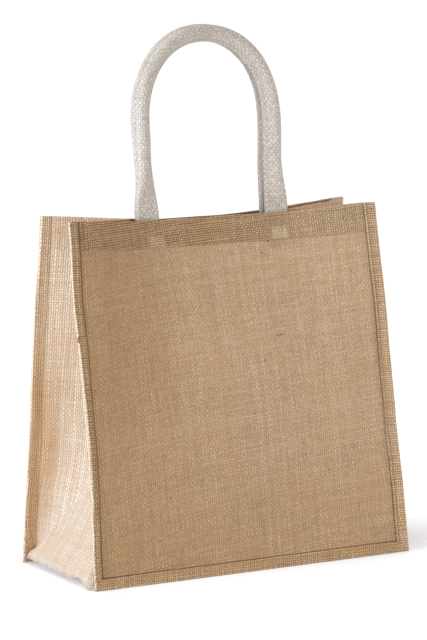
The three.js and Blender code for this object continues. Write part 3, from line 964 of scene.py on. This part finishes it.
def makePanel(side, name, node, material):
    z = panelRows()
    x = panelColumns(side, z)
    z = np.repeat(z[:, None], x.shape[1], 1)
    doubled = smooth(hemStart - panel["hemStep"], hemStart + panel["hemStep"], z)
    doubled = doubled * (np.abs(x) < seamHalf(z) - panel["hemFromSeam"] + 1)
    inside = half + panel["hemExtra"] * doubled
    middle = (half - inside) / 2
    thickness = (half + inside) / 2 * rimShare(z)
    outer = onPanel(side, x, z, middle + thickness)
    inner = onPanel(side, x, z, middle - thickness)
    threads = np.stack([x, z], -1)
    layout = np.stack([(x / (body["halfWidth"][0] + 2) + 1) / 2, z / (body["top"] + 2)], -1)
    rows = (threads[:-1], threads[1:]), (layout[:-1], layout[1:])
    fromSeam = np.abs(x) - seamHalf(z) - shiftOf(side, x, z) + panel["widerSlit"] * ((x < 0) & (side < 0))
    binding = np.stack([fromSeam, z - body["seamHeight"]], -1)
    piece = addSheet(name, outer, inner, *rows, material, node, side < 0, binding)


juteFront = makeJute("juteFront", panelJute, panelZones)
makePanel(-1, "front_cloth", "front_panel", juteFront)
makePanel(1, "back_cloth", "back_panel", juteFront)
print("panels made")


# Gusset

gusset = {
    "apex": 86.0,
    "tuck": 0.955,
    "halfCloth": 66.1,
    "sag": (4.0, 5.0),  # on the left and on the right
    "backSlack": (0.4, 2.8),  # how far the back half's top edge hangs below the flange
    "bow": 1.6,
    "sagFade": (0.05, 0.33),
    "lowerBand": 20.0,
    "hemFromSeam": 14.0,
    "hemExtra": 1.4,
    "mitreLimit": 1.5,
    "pressed": 0.55,  # how square the binding's outer fold is: 1 is round
    "lowerLength": {"below": 60.0, "share": 0.2},
    "turn": 14.0,  # cloth that the lower fold takes up
    "creaseRadius": 0.05,
    "foldOut": 1.3,  # how quickly the lower fold's lean goes away upward
    "bottomDrop": (4.4, 8),  # the bottom hangs by this much, and how flat it is between its seams
    "cornerReach": (4, 26),
    "seamEnd": 131,  # across, where the back's lift is carried over to the side
    "slackEase": 0.04,
    "halfFold": 1.8,  # length of cloth in half of the binding's outer fold
    "innerFrom": 1.8,
    "far": 60.0,  # stands for a distance from the binding where it no longer matters
}
# directions round the binding's pressed outer fold
foldDegrees = (90, 78, 64, 50, 40, 28, 12, 0, -12, -28, -40, -50, -64, -78, -90)
# how far the turned edge of the binding stands above the flange, from its seam outward
ridge = {0: 0.45, 0.5: 0.8, 1.2: 0.86, 1.9: 0.76, 2.6: 0.35, 3.4: 0.1}
# the lower fold of the side, from the back seam (-1) to the front seam (1): its height above the
# floor and how far it stands out from the seam's plane
lowerFold = {
    "place": (-1.0, -0.9, -0.5, 0.0, 0.45, 0.6, 0.7, 0.85, 0.97, 1.0),
    "height": (6.6, 6.0, 5.3, 5.0, 4.6, 7.4, 6.6, 3.6, 1.6, 1.6),
    "out": (10.2, 10.2, 9.9, 9.7, 9.6, 8.7, 8.8, 9.4, 9.8, 9.8),
}
flangeSteps = (0.0, 0.2, 0.4, 0.6, 0.8)
# how far the cloth turns off the flange's inner face into the side, by the distance from the seam
innerTurn = {1.4: 0, 0.8: 0.1, 0.4: 0.35, 0.1: 0.85, 0: 1.3}


class Stations:  # the places along the strip, down the left side, across the bottom and up the right
    def __init__(self):
        top, low = body["top"], body["seamHeight"]
        levels = np.concatenate([
            np.linspace(low + 1.2, hemStart - 2, 100), np.linspace(hemStart - 1.2, hemStart + 1.2, 5),
            np.linspace(hemStart + 3, top - 2, 9), top - np.array([1.0, 0.6, 0.3, 0.1, 0]),
        ])
        reach = float(seamHalf(low))
        shares = np.concatenate([np.linspace(1, 0.9, 8), np.linspace(0.88, 0, 44)])
        bottom = np.concatenate([-shares, shares[-2::-1]]) * reach
        self.x = np.concatenate([-seamHalf(levels[::-1]), bottom, seamHalf(levels)])
        self.z = np.concatenate([levels[::-1], np.full(len(bottom), low), levels])
        sides = len(levels)
        self.outX = np.zeros(len(self.x))
        self.outX[:sides + 1] = -1
        self.outX[-sides - 1:] = 1
        self.outZ = np.zeros(len(self.x))
        self.outZ[sides:-sides] = -1
        self.part = np.zeros(len(self.x) - 1, dtype=int)
        self.part[sides:] = 1
        self.part[-sides:] = 2
        self.onSide = self.outZ == 0
        self.reach = reach


def seamAndFold(side, s):
    shift = shiftOf(side, s.outX, s.z) * (s.outX != 0)
    low = body["seamHeight"]
    upright = s.outX != 0
    seamX = np.where(upright, s.outX * (seamHalf(s.z) + shift), s.x)
    foldZ = np.where(s.onSide, s.z, foldHeight)
    foldX = np.where(upright, s.outX * panelEdge(side, s.outX, foldZ), s.x)
    reach = np.where(s.onSide, panelEdge(side, s.outX, s.z) - seamHalf(s.z) - shift, low - foldHeight)
    return seamX, s.z, foldX, foldZ, np.where(s.onSide, shift, 0), reach


def flangeColumns(side, s):
    seamX, seamZ, foldX, foldZ, start, reach = seamAndFold(side, s)

    def spotAt(a):
        return between(seamX, foldX, a / reach), between(seamZ, foldZ, a / reach)

    def depthAt(a):
        return panelDepth(side, *spotAt(a))

    slope = np.where(s.onSide, (depthAt(reach) - depthAt(reach - 0.1)) / 0.1, 0)
    length = np.hypot(1, slope)
    alongA, alongY = 1 / length, slope / length
    outA, outY = -side * alongY, side * alongA
    columns = []

    def add(a, past, b, extra=0.0, farther=0.0):
        aside = past * alongA + b * outA
        x, z = spotAt(a)
        y = depthAt(a) + past * alongY + b * outY
        zero = np.zeros(len(x))
        drop = -liftOf(x) * (z / body["top"]) ** 2 if side > 0 else zero
        fromFold = gusset["halfFold"] * b / layer + (np.sign(b) * (reach - a) if past == 0 else zero)
        fromFold = fromFold + farther
        columns.append([x, z, aside, start + a + aside, y, zero + extra, zero, drop, fromFold, zero + a])

    layer = body["layer"]
    for across, lift in ridge.items():
        add(across, 0, layer, lift)
    last = max(ridge)
    for step in flangeSteps:
        add(between(last + 0.6, reach, step), 0, layer)
    for degrees in foldDegrees:
        angle = math.radians(degrees)
        out, beside = abs(math.cos(angle)) ** gusset["pressed"], abs(math.sin(angle)) ** gusset["pressed"]
        add(reach, layer * out, layer * math.copysign(beside, degrees))
    for step in flangeSteps[:0:-1]:
        add(between(gusset["innerFrom"], reach, step), 0, -layer)
    for across, deeper in innerTurn.items():
        add(across, 0, -layer - deeper, 0.0, gusset["halfFold"] * deeper / layer)
    return columns


def webInward(s, place, span):
    share = abs(place)
    h = np.clip((s.z - body["seamHeight"]) / (gusset["apex"] - body["seamHeight"]), 0, 1)
    tuck = gusset["tuck"] * np.sqrt(np.clip(gusset["halfCloth"] ** 2 - span ** 2, 0, None))
    soft = gusset["creaseRadius"]
    away = np.hypot(share, soft) - soft * (1 - share)
    crossing = h - (1 - away)
    folded = (h + 1 - away - np.sqrt(crossing ** 2 + (2 * soft) ** 2 * h * (1 - h))) / 2
    bow = gusset["bow"] * np.sin(np.pi * np.clip(share, 0, 1)) * h
    low, high = gusset["sagFade"]
    goneBy = high if place > 0 else between(low, high, smooth(0, 0.3, 1 - share))
    out = np.interp(place, lowerFold["place"], lowerFold["out"])
    fade = np.clip(1 - h / goneBy, 0, None)
    side = tuck * folded + bow - out * fade ** gusset["foldOut"]
    fromCorner = s.reach - np.abs(s.x)
    atCorner = body["seamHeight"] - np.interp(place, lowerFold["place"], lowerFold["height"])
    most, flatness = gusset["bottomDrop"]
    inMiddle = min(atCorner, most) * (1 - share ** flatness)
    drop = between(atCorner, inMiddle, smooth(*gusset["cornerReach"], fromCorner))
    return np.where(s.onSide, side, 0), np.where(s.outX != 0, -side, 0), np.where(s.onSide, 0, drop)


def webColumns(front, back, s):
    aFront, yFront = front[-1][3], front[-1][4]
    aBack, yBack = back[0][3], back[0][4]
    middle, span = (yFront + yBack) / 2, (yBack - yFront) / 2
    seamFront = seamAndFold(-1, s)
    seamBack = seamAndFold(1, s)
    hemmed = s.z > hemStart
    toTop = (s.z / body["top"]) ** 3
    far = np.full(len(s.z), gusset["far"])
    columns = []
    shares = np.concatenate([np.linspace(0.985, 0, 30), -np.linspace(0.985, 0, 30)[-2::-1]])
    for place in shares:
        share = abs(place)
        inward, pushX, pushZ = webInward(s, place, span)
        y = middle - span * place
        toBack = (y - yFront) / (yBack - yFront)
        doubled = hemmed & (1 - share > gusset["hemFromSeam"] / gusset["halfCloth"])
        drop = np.where(s.outX < 0, *gusset["sag"]) * np.clip(inward, 0, None) / gusset["halfCloth"] * toTop
        if place < 0:
            slack = np.where(s.outX < 0, *gusset["backSlack"]) * s.onSide
            atSeam = -liftOf(s.outX * gusset["seamEnd"])
            slack = between(atSeam, slack, smooth(0, gusset["slackEase"], 1 - share))
            drop = drop + share * slack * s.onSide * toTop
        columns.append([
            between(seamFront[0], seamBack[0], toBack) + s.outX * pushX,
            between(seamFront[1], seamBack[1], toBack) + s.outZ * pushZ, np.zeros(len(y)),
            between(aFront, aBack, toBack) + np.where(s.onSide, pushX, pushZ), y,
            np.zeros(len(y)), doubled * gusset["hemExtra"], drop, far, far,
        ])
    return columns


def makeGusset(material):
    s = Stations()
    front = flangeColumns(-1, s)
    back = flangeColumns(1, s)[::-1]
    columns = np.stack(front + webColumns(front, back, s) + back, 2)
    x, z, past, a, y, extra, inner, drop, fromFold, fromSeam = columns
    da, dy = np.diff(a, axis=1), np.diff(y, axis=1)
    length = np.hypot(da, dy)
    # twice the mean normal of the stretches that meet at each column
    sumA, sumY = (np.concatenate([2 * n[:, :1], n[:, :-1] + n[:, 1:], 2 * n[:, -1:]], 1)
                  for n in (dy / length, -da / length))
    mitre = np.minimum(gusset["mitreLimit"], 2 / (sumA ** 2 + sumY ** 2))
    toFront = np.clip((gusset["lowerBand"] - y) / (2 * gusset["lowerBand"]), 0, 1)
    high = (s.z / body["top"])[:, None]
    lower = drop + body["frontLower"] * toFront * high ** 2
    centre = (extra - inner) / 2
    thickness = (body["cloth"] + extra + inner) / 2 * rimShare(s.z)[:, None]
    outX, outZ = s.outX[:, None], s.outZ[:, None]

    def shell(away):
        aside = past + sumA * mitre * away
        return np.stack([x + outX * aside, y + sumY * mitre * away, z + outZ * aside - lower], -1)

    outer, innerFace = shell(centre + thickness), shell(centre - thickness)
    across = running(length)
    across = across - across[:, across.shape[1] // 2][:, None]
    low, reach = body["seamHeight"], s.reach
    px, pz = x + outX * past, z + outZ * past
    turn = gusset["turn"]
    along = [low - pz, px + reach + turn, 2 * (reach + turn) + pz - low]
    webLike = np.abs(across) < gusset["halfCloth"] - 1
    # below the creases the cloth leans out, so that more of it lies in each millimetre of height
    ease = gusset["lowerLength"]
    length = z + ease["share"] * np.minimum(z, ease["below"]) - low * (1 + ease["share"])
    webAlong = [-length, x + reach + turn, 2 * (reach + turn) + length]
    along = [np.where(webLike, v, w) for v, w in zip(webAlong, along)]
    threads = np.stack([np.stack([across, v], -1) for v in along])
    band = np.arange(len(s.part))
    lowerSet, upperSet = threads[s.part, band], threads[s.part, band + 1]
    total = across[:, -1:] - across[:, :1]
    acrossShare = np.broadcast_to((across - across[:, :1]) / total, across.shape)
    gone = running(np.hypot(np.diff(s.x), np.diff(s.z)))
    layouts = []
    for part in range(3):
        inPart = np.flatnonzero(s.part == part)
        start, end = gone[inPart[0]], gone[inPart[-1] + 1]
        partShare = np.repeat(((gone - start) / (end - start))[:, None], across.shape[1], 1)
        layouts.append(np.stack([(part + 0.004 + 0.992 * acrossShare) / 3, partShare], -1))
    layouts = np.stack(layouts)
    bake = layouts[s.part, band], layouts[s.part, band + 1]
    binding = np.stack([fromFold, fromSeam], -1)
    weave = lowerSet, upperSet
    piece = addSheet("gusset_cloth", outer, innerFace, weave, bake, material, "gusset", False, binding)
    return {"stations": s, "outer": outer, "inner": innerFace, "fromSeam": fromSeam, "flange": len(front)}


gussetCloth = makeGusset(makeJute("juteGusset", gussetJute, gussetZones))
print("gusset made")


# Handles

handle = {
    "halfSpan": 63.8, "converge": 2.3, "inRate": 1.5, "springHeight": 373.0, "rise": 75.2,
    "archRate": 0.96, "endHeight": 271.0, "baseHeight": 294.0, "leanBack": 10.7, "baseLeft": -1.2,
    "flat": 2.0, "room": 0.6, "roundFrom": 297.0, "roundTo": 342.0, "rollLeft": 35.0, "rollRight": 15.0,
    "threadsAround": 22, "threadsAlong": 176, "samples": 4, "relief": 0.22,
}
backHandle = {"x": 1.3, "y": 2.4, "z": 0.3, "leftBase": 4.8}
# half of the section, from the notch where the webbing's two edges meet on the inner side to the
# outer side: across and deep, round then flat
handleSection = np.array([
    (-7.7, 0, -8.6, 0), (-9.3, 0.7, -10.3, 0.7), (-9.2, 1.65, -10.1, 1.6), (-6, 2.1, -7.5, 2),
    (-3.8, 3.7, -3.5, 2), (-1, 5, 1.5, 2), (1.9, 4.8, 6, 2), (4.3, 2.9, 9.6, 1.6), (5.2, 0, 10.2, 0),
])


def handlePath(count):
    legZ = np.linspace(handle["endHeight"], handle["springHeight"], 400)
    h = np.clip((legZ - handle["baseHeight"]) / (handle["springHeight"] - handle["baseHeight"]), 0, 1)
    legX = handle["halfSpan"] - handle["converge"] * (1 - h) ** handle["inRate"]
    angle = np.linspace(0, math.pi, 900)[1:-1]
    archX = -np.sign(np.cos(angle)) * np.abs(np.cos(angle)) ** handle["archRate"] * handle["halfSpan"]
    archZ = handle["springHeight"] + handle["rise"] * np.sin(angle) ** handle["archRate"]
    x = np.concatenate([-legX, archX, legX[::-1]])
    z = np.concatenate([legZ, archZ, legZ[::-1]])
    gone = running(np.hypot(np.diff(x), np.diff(z)))
    even = np.linspace(0, gone[-1], count)
    return np.interp(even, gone, x), np.interp(even, gone, z)


def closedCurve(corners, count):
    fine = 16
    t = np.arange(fine)[:, None] / fine
    parts = []
    total = len(corners)
    for i in range(total):
        a, b, c, d = (corners[(i + k) % total] for k in (-1, 0, 1, 2))
        parts.append(0.5 * (2 * b + (c - a) * t + (2 * a - 5 * b + 4 * c - d) * t ** 2
                            + (3 * b - a - 3 * c + d) * t ** 3))
    line = np.concatenate(parts + [parts[0][:1]])
    gone = running(np.hypot(*np.diff(line, axis=0).T))
    even = np.arange(count) * gone[-1] / count
    return np.stack([np.interp(even, gone, line[:, k]) for k in (0, 1)], -1)


def wallAt(side, x, level):
    return panelDepth(side, x, level + panelDrop(side, x, level))


def makeHandle(side, name, node, material):
    around = handle["threadsAround"] * handle["samples"]
    rings = handle["threadsAlong"] * handle["samples"] + 1
    pathX, pathZ = handlePath(rings)
    tangent = unit(np.stack([np.gradient(pathX), np.gradient(pathZ)], -1))
    rounding = smooth(handle["roundFrom"], handle["roundTo"], pathZ)
    grown = smooth(handle["roundFrom"], handle["springHeight"], pathZ)
    move = grown if side > 0 else grown * 0
    level = np.minimum(pathZ, handle["baseHeight"])
    inset = half + panel["hemExtra"] + handle["room"] + handle["flat"]
    top = handle["springHeight"] + handle["rise"]
    lean = handle["leanBack"] * np.clip(pathZ - handle["baseHeight"], 0, None) / (top - handle["baseHeight"])
    baseX = np.where((side > 0) & (pathX < 0), backHandle["leftBase"], 0)
    x = pathX + between(baseX, backHandle["x"], move) + handle["baseLeft"] * (1 - grown)
    y = wallAt(side, x, level) - side * inset + lean + (backHandle["y"] * rounding if side > 0 else 0)
    z = pathZ + backHandle["z"] * move
    roll = np.radians(np.linspace(handle["rollLeft"], handle["rollRight"], rings)) * rounding
    points = np.zeros((rings, around, 3))
    for i in range(rings):
        row = between(handleSection[:, 2:], handleSection[:, :2], rounding[i])
        section = closedCurve(np.concatenate([row, (row * (1, -1))[-2:0:-1]]), around)
        normal = np.roll(section, -1, axis=0) - np.roll(section, 1, axis=0)
        normal = np.stack([-normal[:, 1], normal[:, 0]], -1) / np.linalg.norm(normal, axis=1)[:, None]
        section = section + normal * reliefAt(i, around, rounding[i])[:, None]
        turned = np.array([[math.cos(roll[i]), math.sin(roll[i])], [-math.sin(roll[i]), math.cos(roll[i])]])
        out, deep = turned @ section.T
        px = x[i] - tangent[i, 1] * out
        follow = (1 - rounding[i]) * (wallAt(side, px, level[i]) - wallAt(side, x[i], level[i]))
        points[i] = np.stack([px, y[i] + follow + deep, z[i] + tangent[i, 0] * out], -1)
    faces = gridFaces(rings, around, closed=True)
    u = np.arange(around + 1) / handle["samples"]
    v = np.arange(rings) / handle["samples"]
    r, c = faces[:, 0] // around, faces[:, 0] % around
    corners = [(c, r + 1), (c + 1, r + 1), (c + 1, r), (c, r)]
    threads = np.stack([np.stack([u[i], v[j]], -1) for i, j in corners], 1)
    ends = [range(around), range(rings * around - 1, (rings - 1) * around - 1, -1)]
    quarter = handle["threadsAlong"] / 4
    segment = np.floor(threads[:, -1:, 1:] / quarter)  # the picture holds the length in four strips
    bake = threads / (handle["threadsAround"], quarter) - segment * (0, 1)
    bake = (bake * (0.98, 0.998) + (0.01, 0.001) + segment * (1, 0)) / (4, 1)
    flatEnds = np.full((2 * around, 2), 0.001)
    maps = {
        "threads": np.concatenate([threads.reshape(-1, 2), flatEnds]),
        "OFBake": np.concatenate([bake.reshape(-1, 2), flatEnds]),
    }
    faces = faces[:, ::-1].tolist() + ends
    piece = addPiece(name, points.reshape(-1, 3), faces, maps, material, (node,))
    return points


def reliefAt(ring, around, rounding):
    samples = handle["samples"]
    u = np.arange(around) / samples
    v = ring / samples
    sign = 1 - 2 * ((np.floor(u) + math.floor(v)) % 2)
    fu, fv = u - np.floor(u) - 0.5, v - math.floor(v) - 0.5
    warp = np.sqrt(np.clip(1 - (fu / 0.5) ** 2, 0, 1)) * (0.6 + 0.4 * sign * math.cos(math.pi * fv))
    weft = math.sqrt(max(0, 1 - (fv / 0.5) ** 2)) * (0.55 - 0.4 * sign * np.cos(np.pi * fu))
    height = np.maximum(warp, weft) - 0.6
    return handle["relief"] * height * (0.4 + 0.6 * rounding)


cotton = makeCotton("cottonWebbing", cottonYarn, handle["threadsAround"])
webbing = [
    makeHandle(-1, "front_webbing", "front_handle", cotton),
    makeHandle(1, "back_webbing", "back_handle", cotton),
]
print("handles made")


# Stitches, bark and loose fibres

# rise is how far a stitch's points stand above the cloth
stitch = {"pitch": 4.4, "gap": 0.5, "radius": 0.3, "sides": 6, "rise": (-0.45, -0.02, 0.1, -0.02, -0.45)}
liningStitch = {"pitch": 4.4, "gap": 0.5, "radius": 0.24, "sides": 6, "rise": (-0.5, -0.2, -0.12, -0.2, -0.5)}
handleStitch = {"pitch": 4.0, "gap": 0.5, "radius": 0.26, "sides": 6, "rise": (-0.3, 0.1, 0.2, 0.1, -0.3)}
# dark bits of bark in the front cloth: across, up, length, turn in degrees and bend
bark = (
    (-74.2, 68.4, 3.6, 70, 0.1), (44.5, 196.0, 10.5, 2, -0.16), (10.5, 130.6, 3.0, 20, 0.1),
    (-68.8, 58.0, 2.4, 60, 0.1), (-87.9, 80.5, 2.6, 90, 0.0), (114.8, 288.5, 4.2, 60, 0.1),
    (117.1, 242.6, 3.0, 80, 0.0), (38.6, 264.7, 4.0, 15, 0.15), (-67.5, 44.0, 2.6, 75, 0.1),
    (45.5, 273.9, 4.5, 8, 0.1), (-7.0, 172.0, 3.6, -10, 0.2), (26.5, 174.0, 3.8, 12, 0.2),
)
barkForm = {"thickness": 0.38, "proud": 0.12, "sunk": 0.5, "sides": 5}
# a frayed end on the binding's left edge, and the hairs around it
curl = {"height": 202.0, "size": 1.5, "lines": 4, "column": 14, "points": 7, "radius": 0.3, "sides": 5}
tuft = {"hairs": 9, "length": 7.0, "spread": (0.3, 0.5, 2.2), "facing": [-0.5, -0.85, 0.0], "lift": 0.5}
fibres = {
    "onPanels": 150, "onSide": 90, "onEdges": 70, "across": (-132, 132), "up": (14, 296),
    "edge": (11, 26),  # the columns of the strip on its binding's outer fold
    "radius": (0.05, 0.09), "length": (3.0, 10.0), "lift": (0.05, 0.35), "bend": 0.35,
    "points": 7, "sides": 3,
    "floor": 0.3,  # none goes lower, so that none goes through the floor
}


forward = (0, -1, 0)


# Tubes of one mesh, one along each line of points
def addTubes(name, lines, normals, radii, sides, material):
    count, points = lines.shape[:2]
    along = unit(np.gradient(lines, axis=1))
    beside = unit(np.cross(along, normals))
    above = np.cross(beside, along)
    turn = np.arange(sides) * 2 * math.pi / sides
    ring = above[:, :, None] * np.cos(turn)[:, None] + beside[:, :, None] * np.sin(turn)[:, None]
    spots = lines[:, :, None] + ring * np.broadcast_to(radii, lines.shape[:2])[:, :, None, None]
    one = gridFaces(points, sides, closed=True)
    faces = (one[None] + (np.arange(count) * points * sides)[:, None, None]).reshape(-1, 4)
    row, column = one[:, 0] // sides, one[:, 0] % sides
    # each tube starts at another place of the thread's pattern
    gone = running(np.linalg.norm(np.diff(lines, axis=1), axis=2)) + np.arange(count)[:, None] * 3.7
    around = np.stack([column, column + 1, column + 1, column], -1) / sides * 2
    length = np.stack([gone[:, row], gone[:, row], gone[:, row + 1], gone[:, row + 1]], -1)
    threads = np.stack([np.broadcast_to(around, length.shape), length], -1).reshape(-1, 4, 2)
    return addPiece(name, spots.reshape(-1, 3), faces, {"threads": threads}, material)


# Stitches along a line of points on a surface, with the surface's normals
def stitchesAlong(points, normals, look):
    gone = running(np.linalg.norm(np.diff(points, axis=0), axis=1))
    starts = np.arange(0.6, gone[-1] - look["pitch"], look["pitch"])
    share = np.array([0.0, 0.14, 0.5, 0.86, 1.0])
    spots = starts[:, None] + look["gap"] / 2 + share * (look["pitch"] - look["gap"])
    lines = np.stack([np.interp(spots, gone, points[:, k]) for k in range(3)], -1)
    facing = unit(np.stack([np.interp(spots, gone, normals[:, k]) for k in range(3)], -1))
    return lines + facing * np.array(look["rise"])[:, None], facing


# The line on the binding that lies a distance from its seam, on its outer or its inner side
def bindingLine(side, outside):
    step = 1 if side < 0 else -1
    outer, inner = gussetCloth["outer"][:, ::step], gussetCloth["inner"][:, ::step]
    fromSeam = gussetCloth["fromSeam"][:, ::step]
    span = slice(3, 8) if outside else slice(31, 24, -1)  # the columns near the row of stitches
    columns = np.arange(gussetCloth["flange"])[span]
    through = outer - inner
    spots, facing = [], []
    for row in range(len(outer)):
        place = np.interp(flangeSeam["fromEdge"], fromSeam[row, columns], columns)
        low = int(place)
        spots.append(between(outer[row, low], outer[row, low + 1], place - low))
        facing.append(between(through[row, low], through[row, low + 1], place - low))
    return np.array(spots), unit(np.array(facing))


def hemLine(side, outside):
    reach = seamHalf(hemSeam["height"]) - (2 if outside else panel["hemFromSeam"] + 2)
    x = np.linspace(-reach, reach, 240)
    z = np.full(len(x), hemSeam["height"])
    away, turned = (half, 1) if outside else (-half - panel["hemExtra"], -1)
    return onPanel(side, x, z, away), panelFacing(side, x, z) * turned


def sideHemLine(right, outside):
    s = gussetCloth["stations"]
    rows = np.flatnonzero(s.outX == (1 if right else -1))
    row = rows[np.argmin(np.abs(s.z[rows] - hemSeam["height"]))]
    columns = slice(gussetCloth["flange"] + 7, -gussetCloth["flange"] - 7)
    outer, inner = gussetCloth["outer"][row, columns], gussetCloth["inner"][row, columns]
    return (outer, unit(outer - inner)) if outside else (inner, unit(inner - outer))


def addSeams(name, seams, look, material):
    made = [stitchesAlong(points, normals, look) for points, normals in seams]
    spots, facing = (np.concatenate(part) for part in zip(*made))
    addTubes(name, spots, facing, look["radius"], look["sides"], material)


def addStitches():
    kinds = {"seam_stitches": (True, "jute", stitch), "lining_stitches": (False, "pale jute", liningStitch)}
    for name, (outside, thread, look) in kinds.items():
        seams = [line(side, outside) for line in (bindingLine, hemLine) for side in (-1, 1)]
        seams += [sideHemLine(right, outside) for right in (True, False)]
        addSeams(name, seams, look, makeThread(name, sewing[thread]))
    seams = []
    for points in webbing:
        around = points.shape[1]
        step = round(cottonYarn["seam"] * handle["samples"])
        for k in (step, around - step):
            beside = points[:, (k + 1) % around] - points[:, k - 1]
            normal = np.cross(beside, np.gradient(points[:, k], axis=0))
            outward = points[:, k] - points.mean(1)
            normal = unit(normal * np.sign(np.sum(normal * outward, -1))[:, None])
            seams.append((points[:, k], normal))
    material = makeThread("cottonThread", sewing["cotton"])
    addSeams("handle_stitches", seams, handleStitch, material)


def addBark():
    t = np.linspace(-0.5, 0.5, 7)
    lines = []
    for u, v, length, turn, bend in bark:
        turn = math.radians(turn)
        aside = bend * length * (1 - 4 * t * t)
        x = u + t * length * math.cos(turn) - aside * math.sin(turn)
        z = v + t * length * math.sin(turn) + aside * math.cos(turn)
        away = half + barkForm["proud"] - barkForm["sunk"] * np.abs(2 * t) ** 3
        lines.append(onPanel(-1, x, z, away))
    radii = barkForm["thickness"] * np.sqrt(1 - (2 * t) ** 2 * 0.9)
    material = makeThread("barkBits", sewing["bark"])
    addTubes("bark_bits", np.array(lines), forward, radii, barkForm["sides"], material)


def frayedSpot():
    outer = gussetCloth["outer"]
    row = np.argmin(np.abs(outer[:len(outer) // 3, 0, 2] - curl["height"]))
    return outer[row, curl["column"]]


def addCurl():
    turn = np.linspace(0, 1.3 * math.pi, curl["points"])
    lines = []
    for k in range(curl["lines"]):
        arc = np.stack([np.cos(turn + k), turn * 0 - 0.3, np.sin(turn + k)], -1)
        lines.append(frayedSpot() + arc * curl["size"] * dice.uniform(0.6, 1.1) + dice.normal(size=3) * 0.5)
    material = makeThread("frayedEnd", sewing["curl"])
    addTubes("frayed_end", np.array(lines), forward, curl["radius"], curl["sides"], material)


def addFibres():
    seeds, facing = [], []
    for side in (-1, 1):
        count = fibres["onPanels"]
        x, z = dice.uniform(*fibres["across"], count), dice.uniform(*fibres["up"], count)
        seeds.append(onPanel(side, x, z, half))
        facing.append(panelFacing(side, x, z))
    outer, inner = gussetCloth["outer"], gussetCloth["inner"]
    columns = gussetCloth["flange"]
    first, last = fibres["edge"]
    onSide, onEdges = fibres["onSide"], fibres["onEdges"]
    runs = (columns + 3, -columns - 3, onSide), (first, last, onEdges), (-last, -first, onEdges)
    for low, high, count in runs:
        rows = dice.integers(4, len(outer) - 4, count)
        span = np.arange(outer.shape[1])[low:high]
        picked = dice.choice(span, count)
        seeds.append(outer[rows, picked])
        facing.append(unit(outer[rows, picked] - inner[rows, picked]))
    seeds, facing = np.concatenate(seeds), np.concatenate(facing)
    lengths = dice.uniform(*fibres["length"], len(seeds))
    lift = dice.uniform(*fibres["lift"], len(seeds))
    hairs = tuft["hairs"]
    seeds = np.concatenate([seeds, frayedSpot() + dice.normal(size=(hairs, 3)) * tuft["spread"]])
    facing = np.concatenate([facing, np.tile(tuft["facing"], (hairs, 1))])
    lengths = np.concatenate([lengths, dice.uniform(0.6, 1.0, hairs) * tuft["length"]])
    lift = np.concatenate([lift, np.full(hairs, tuft["lift"])])[:, None, None]
    way = dice.normal(size=seeds.shape)
    way = unit(way - facing * np.sum(way * facing, -1)[:, None])
    bend = (dice.normal(size=len(seeds)) * fibres["bend"])[:, None, None]
    t = np.linspace(0, 1, fibres["points"])[None, :, None]
    reach = lengths[:, None, None]
    seeds, way, aside, facing = (part[:, None] for part in (seeds, way, np.cross(facing, way), facing))
    lines = seeds + way * t * reach * (1 - 0.25 * t) + aside * bend * reach * t * t
    lines = lines + facing * (lift * reach * np.sin(t * 2.6) * 0.6 - 0.25 * (1 - t))
    lines[..., 2] = np.maximum(lines[..., 2], fibres["floor"])
    radii = dice.uniform(*fibres["radius"], len(lines))[:, None] * (1 - 0.6 * t[:, :, 0])
    material = makeThread("juteFibre", sewing["fibre"])
    addTubes("loose_fibres", lines, facing, radii, fibres["sides"], material)


addStitches()
addBark()
addCurl()
addFibres()
print("stitches and fibres added")
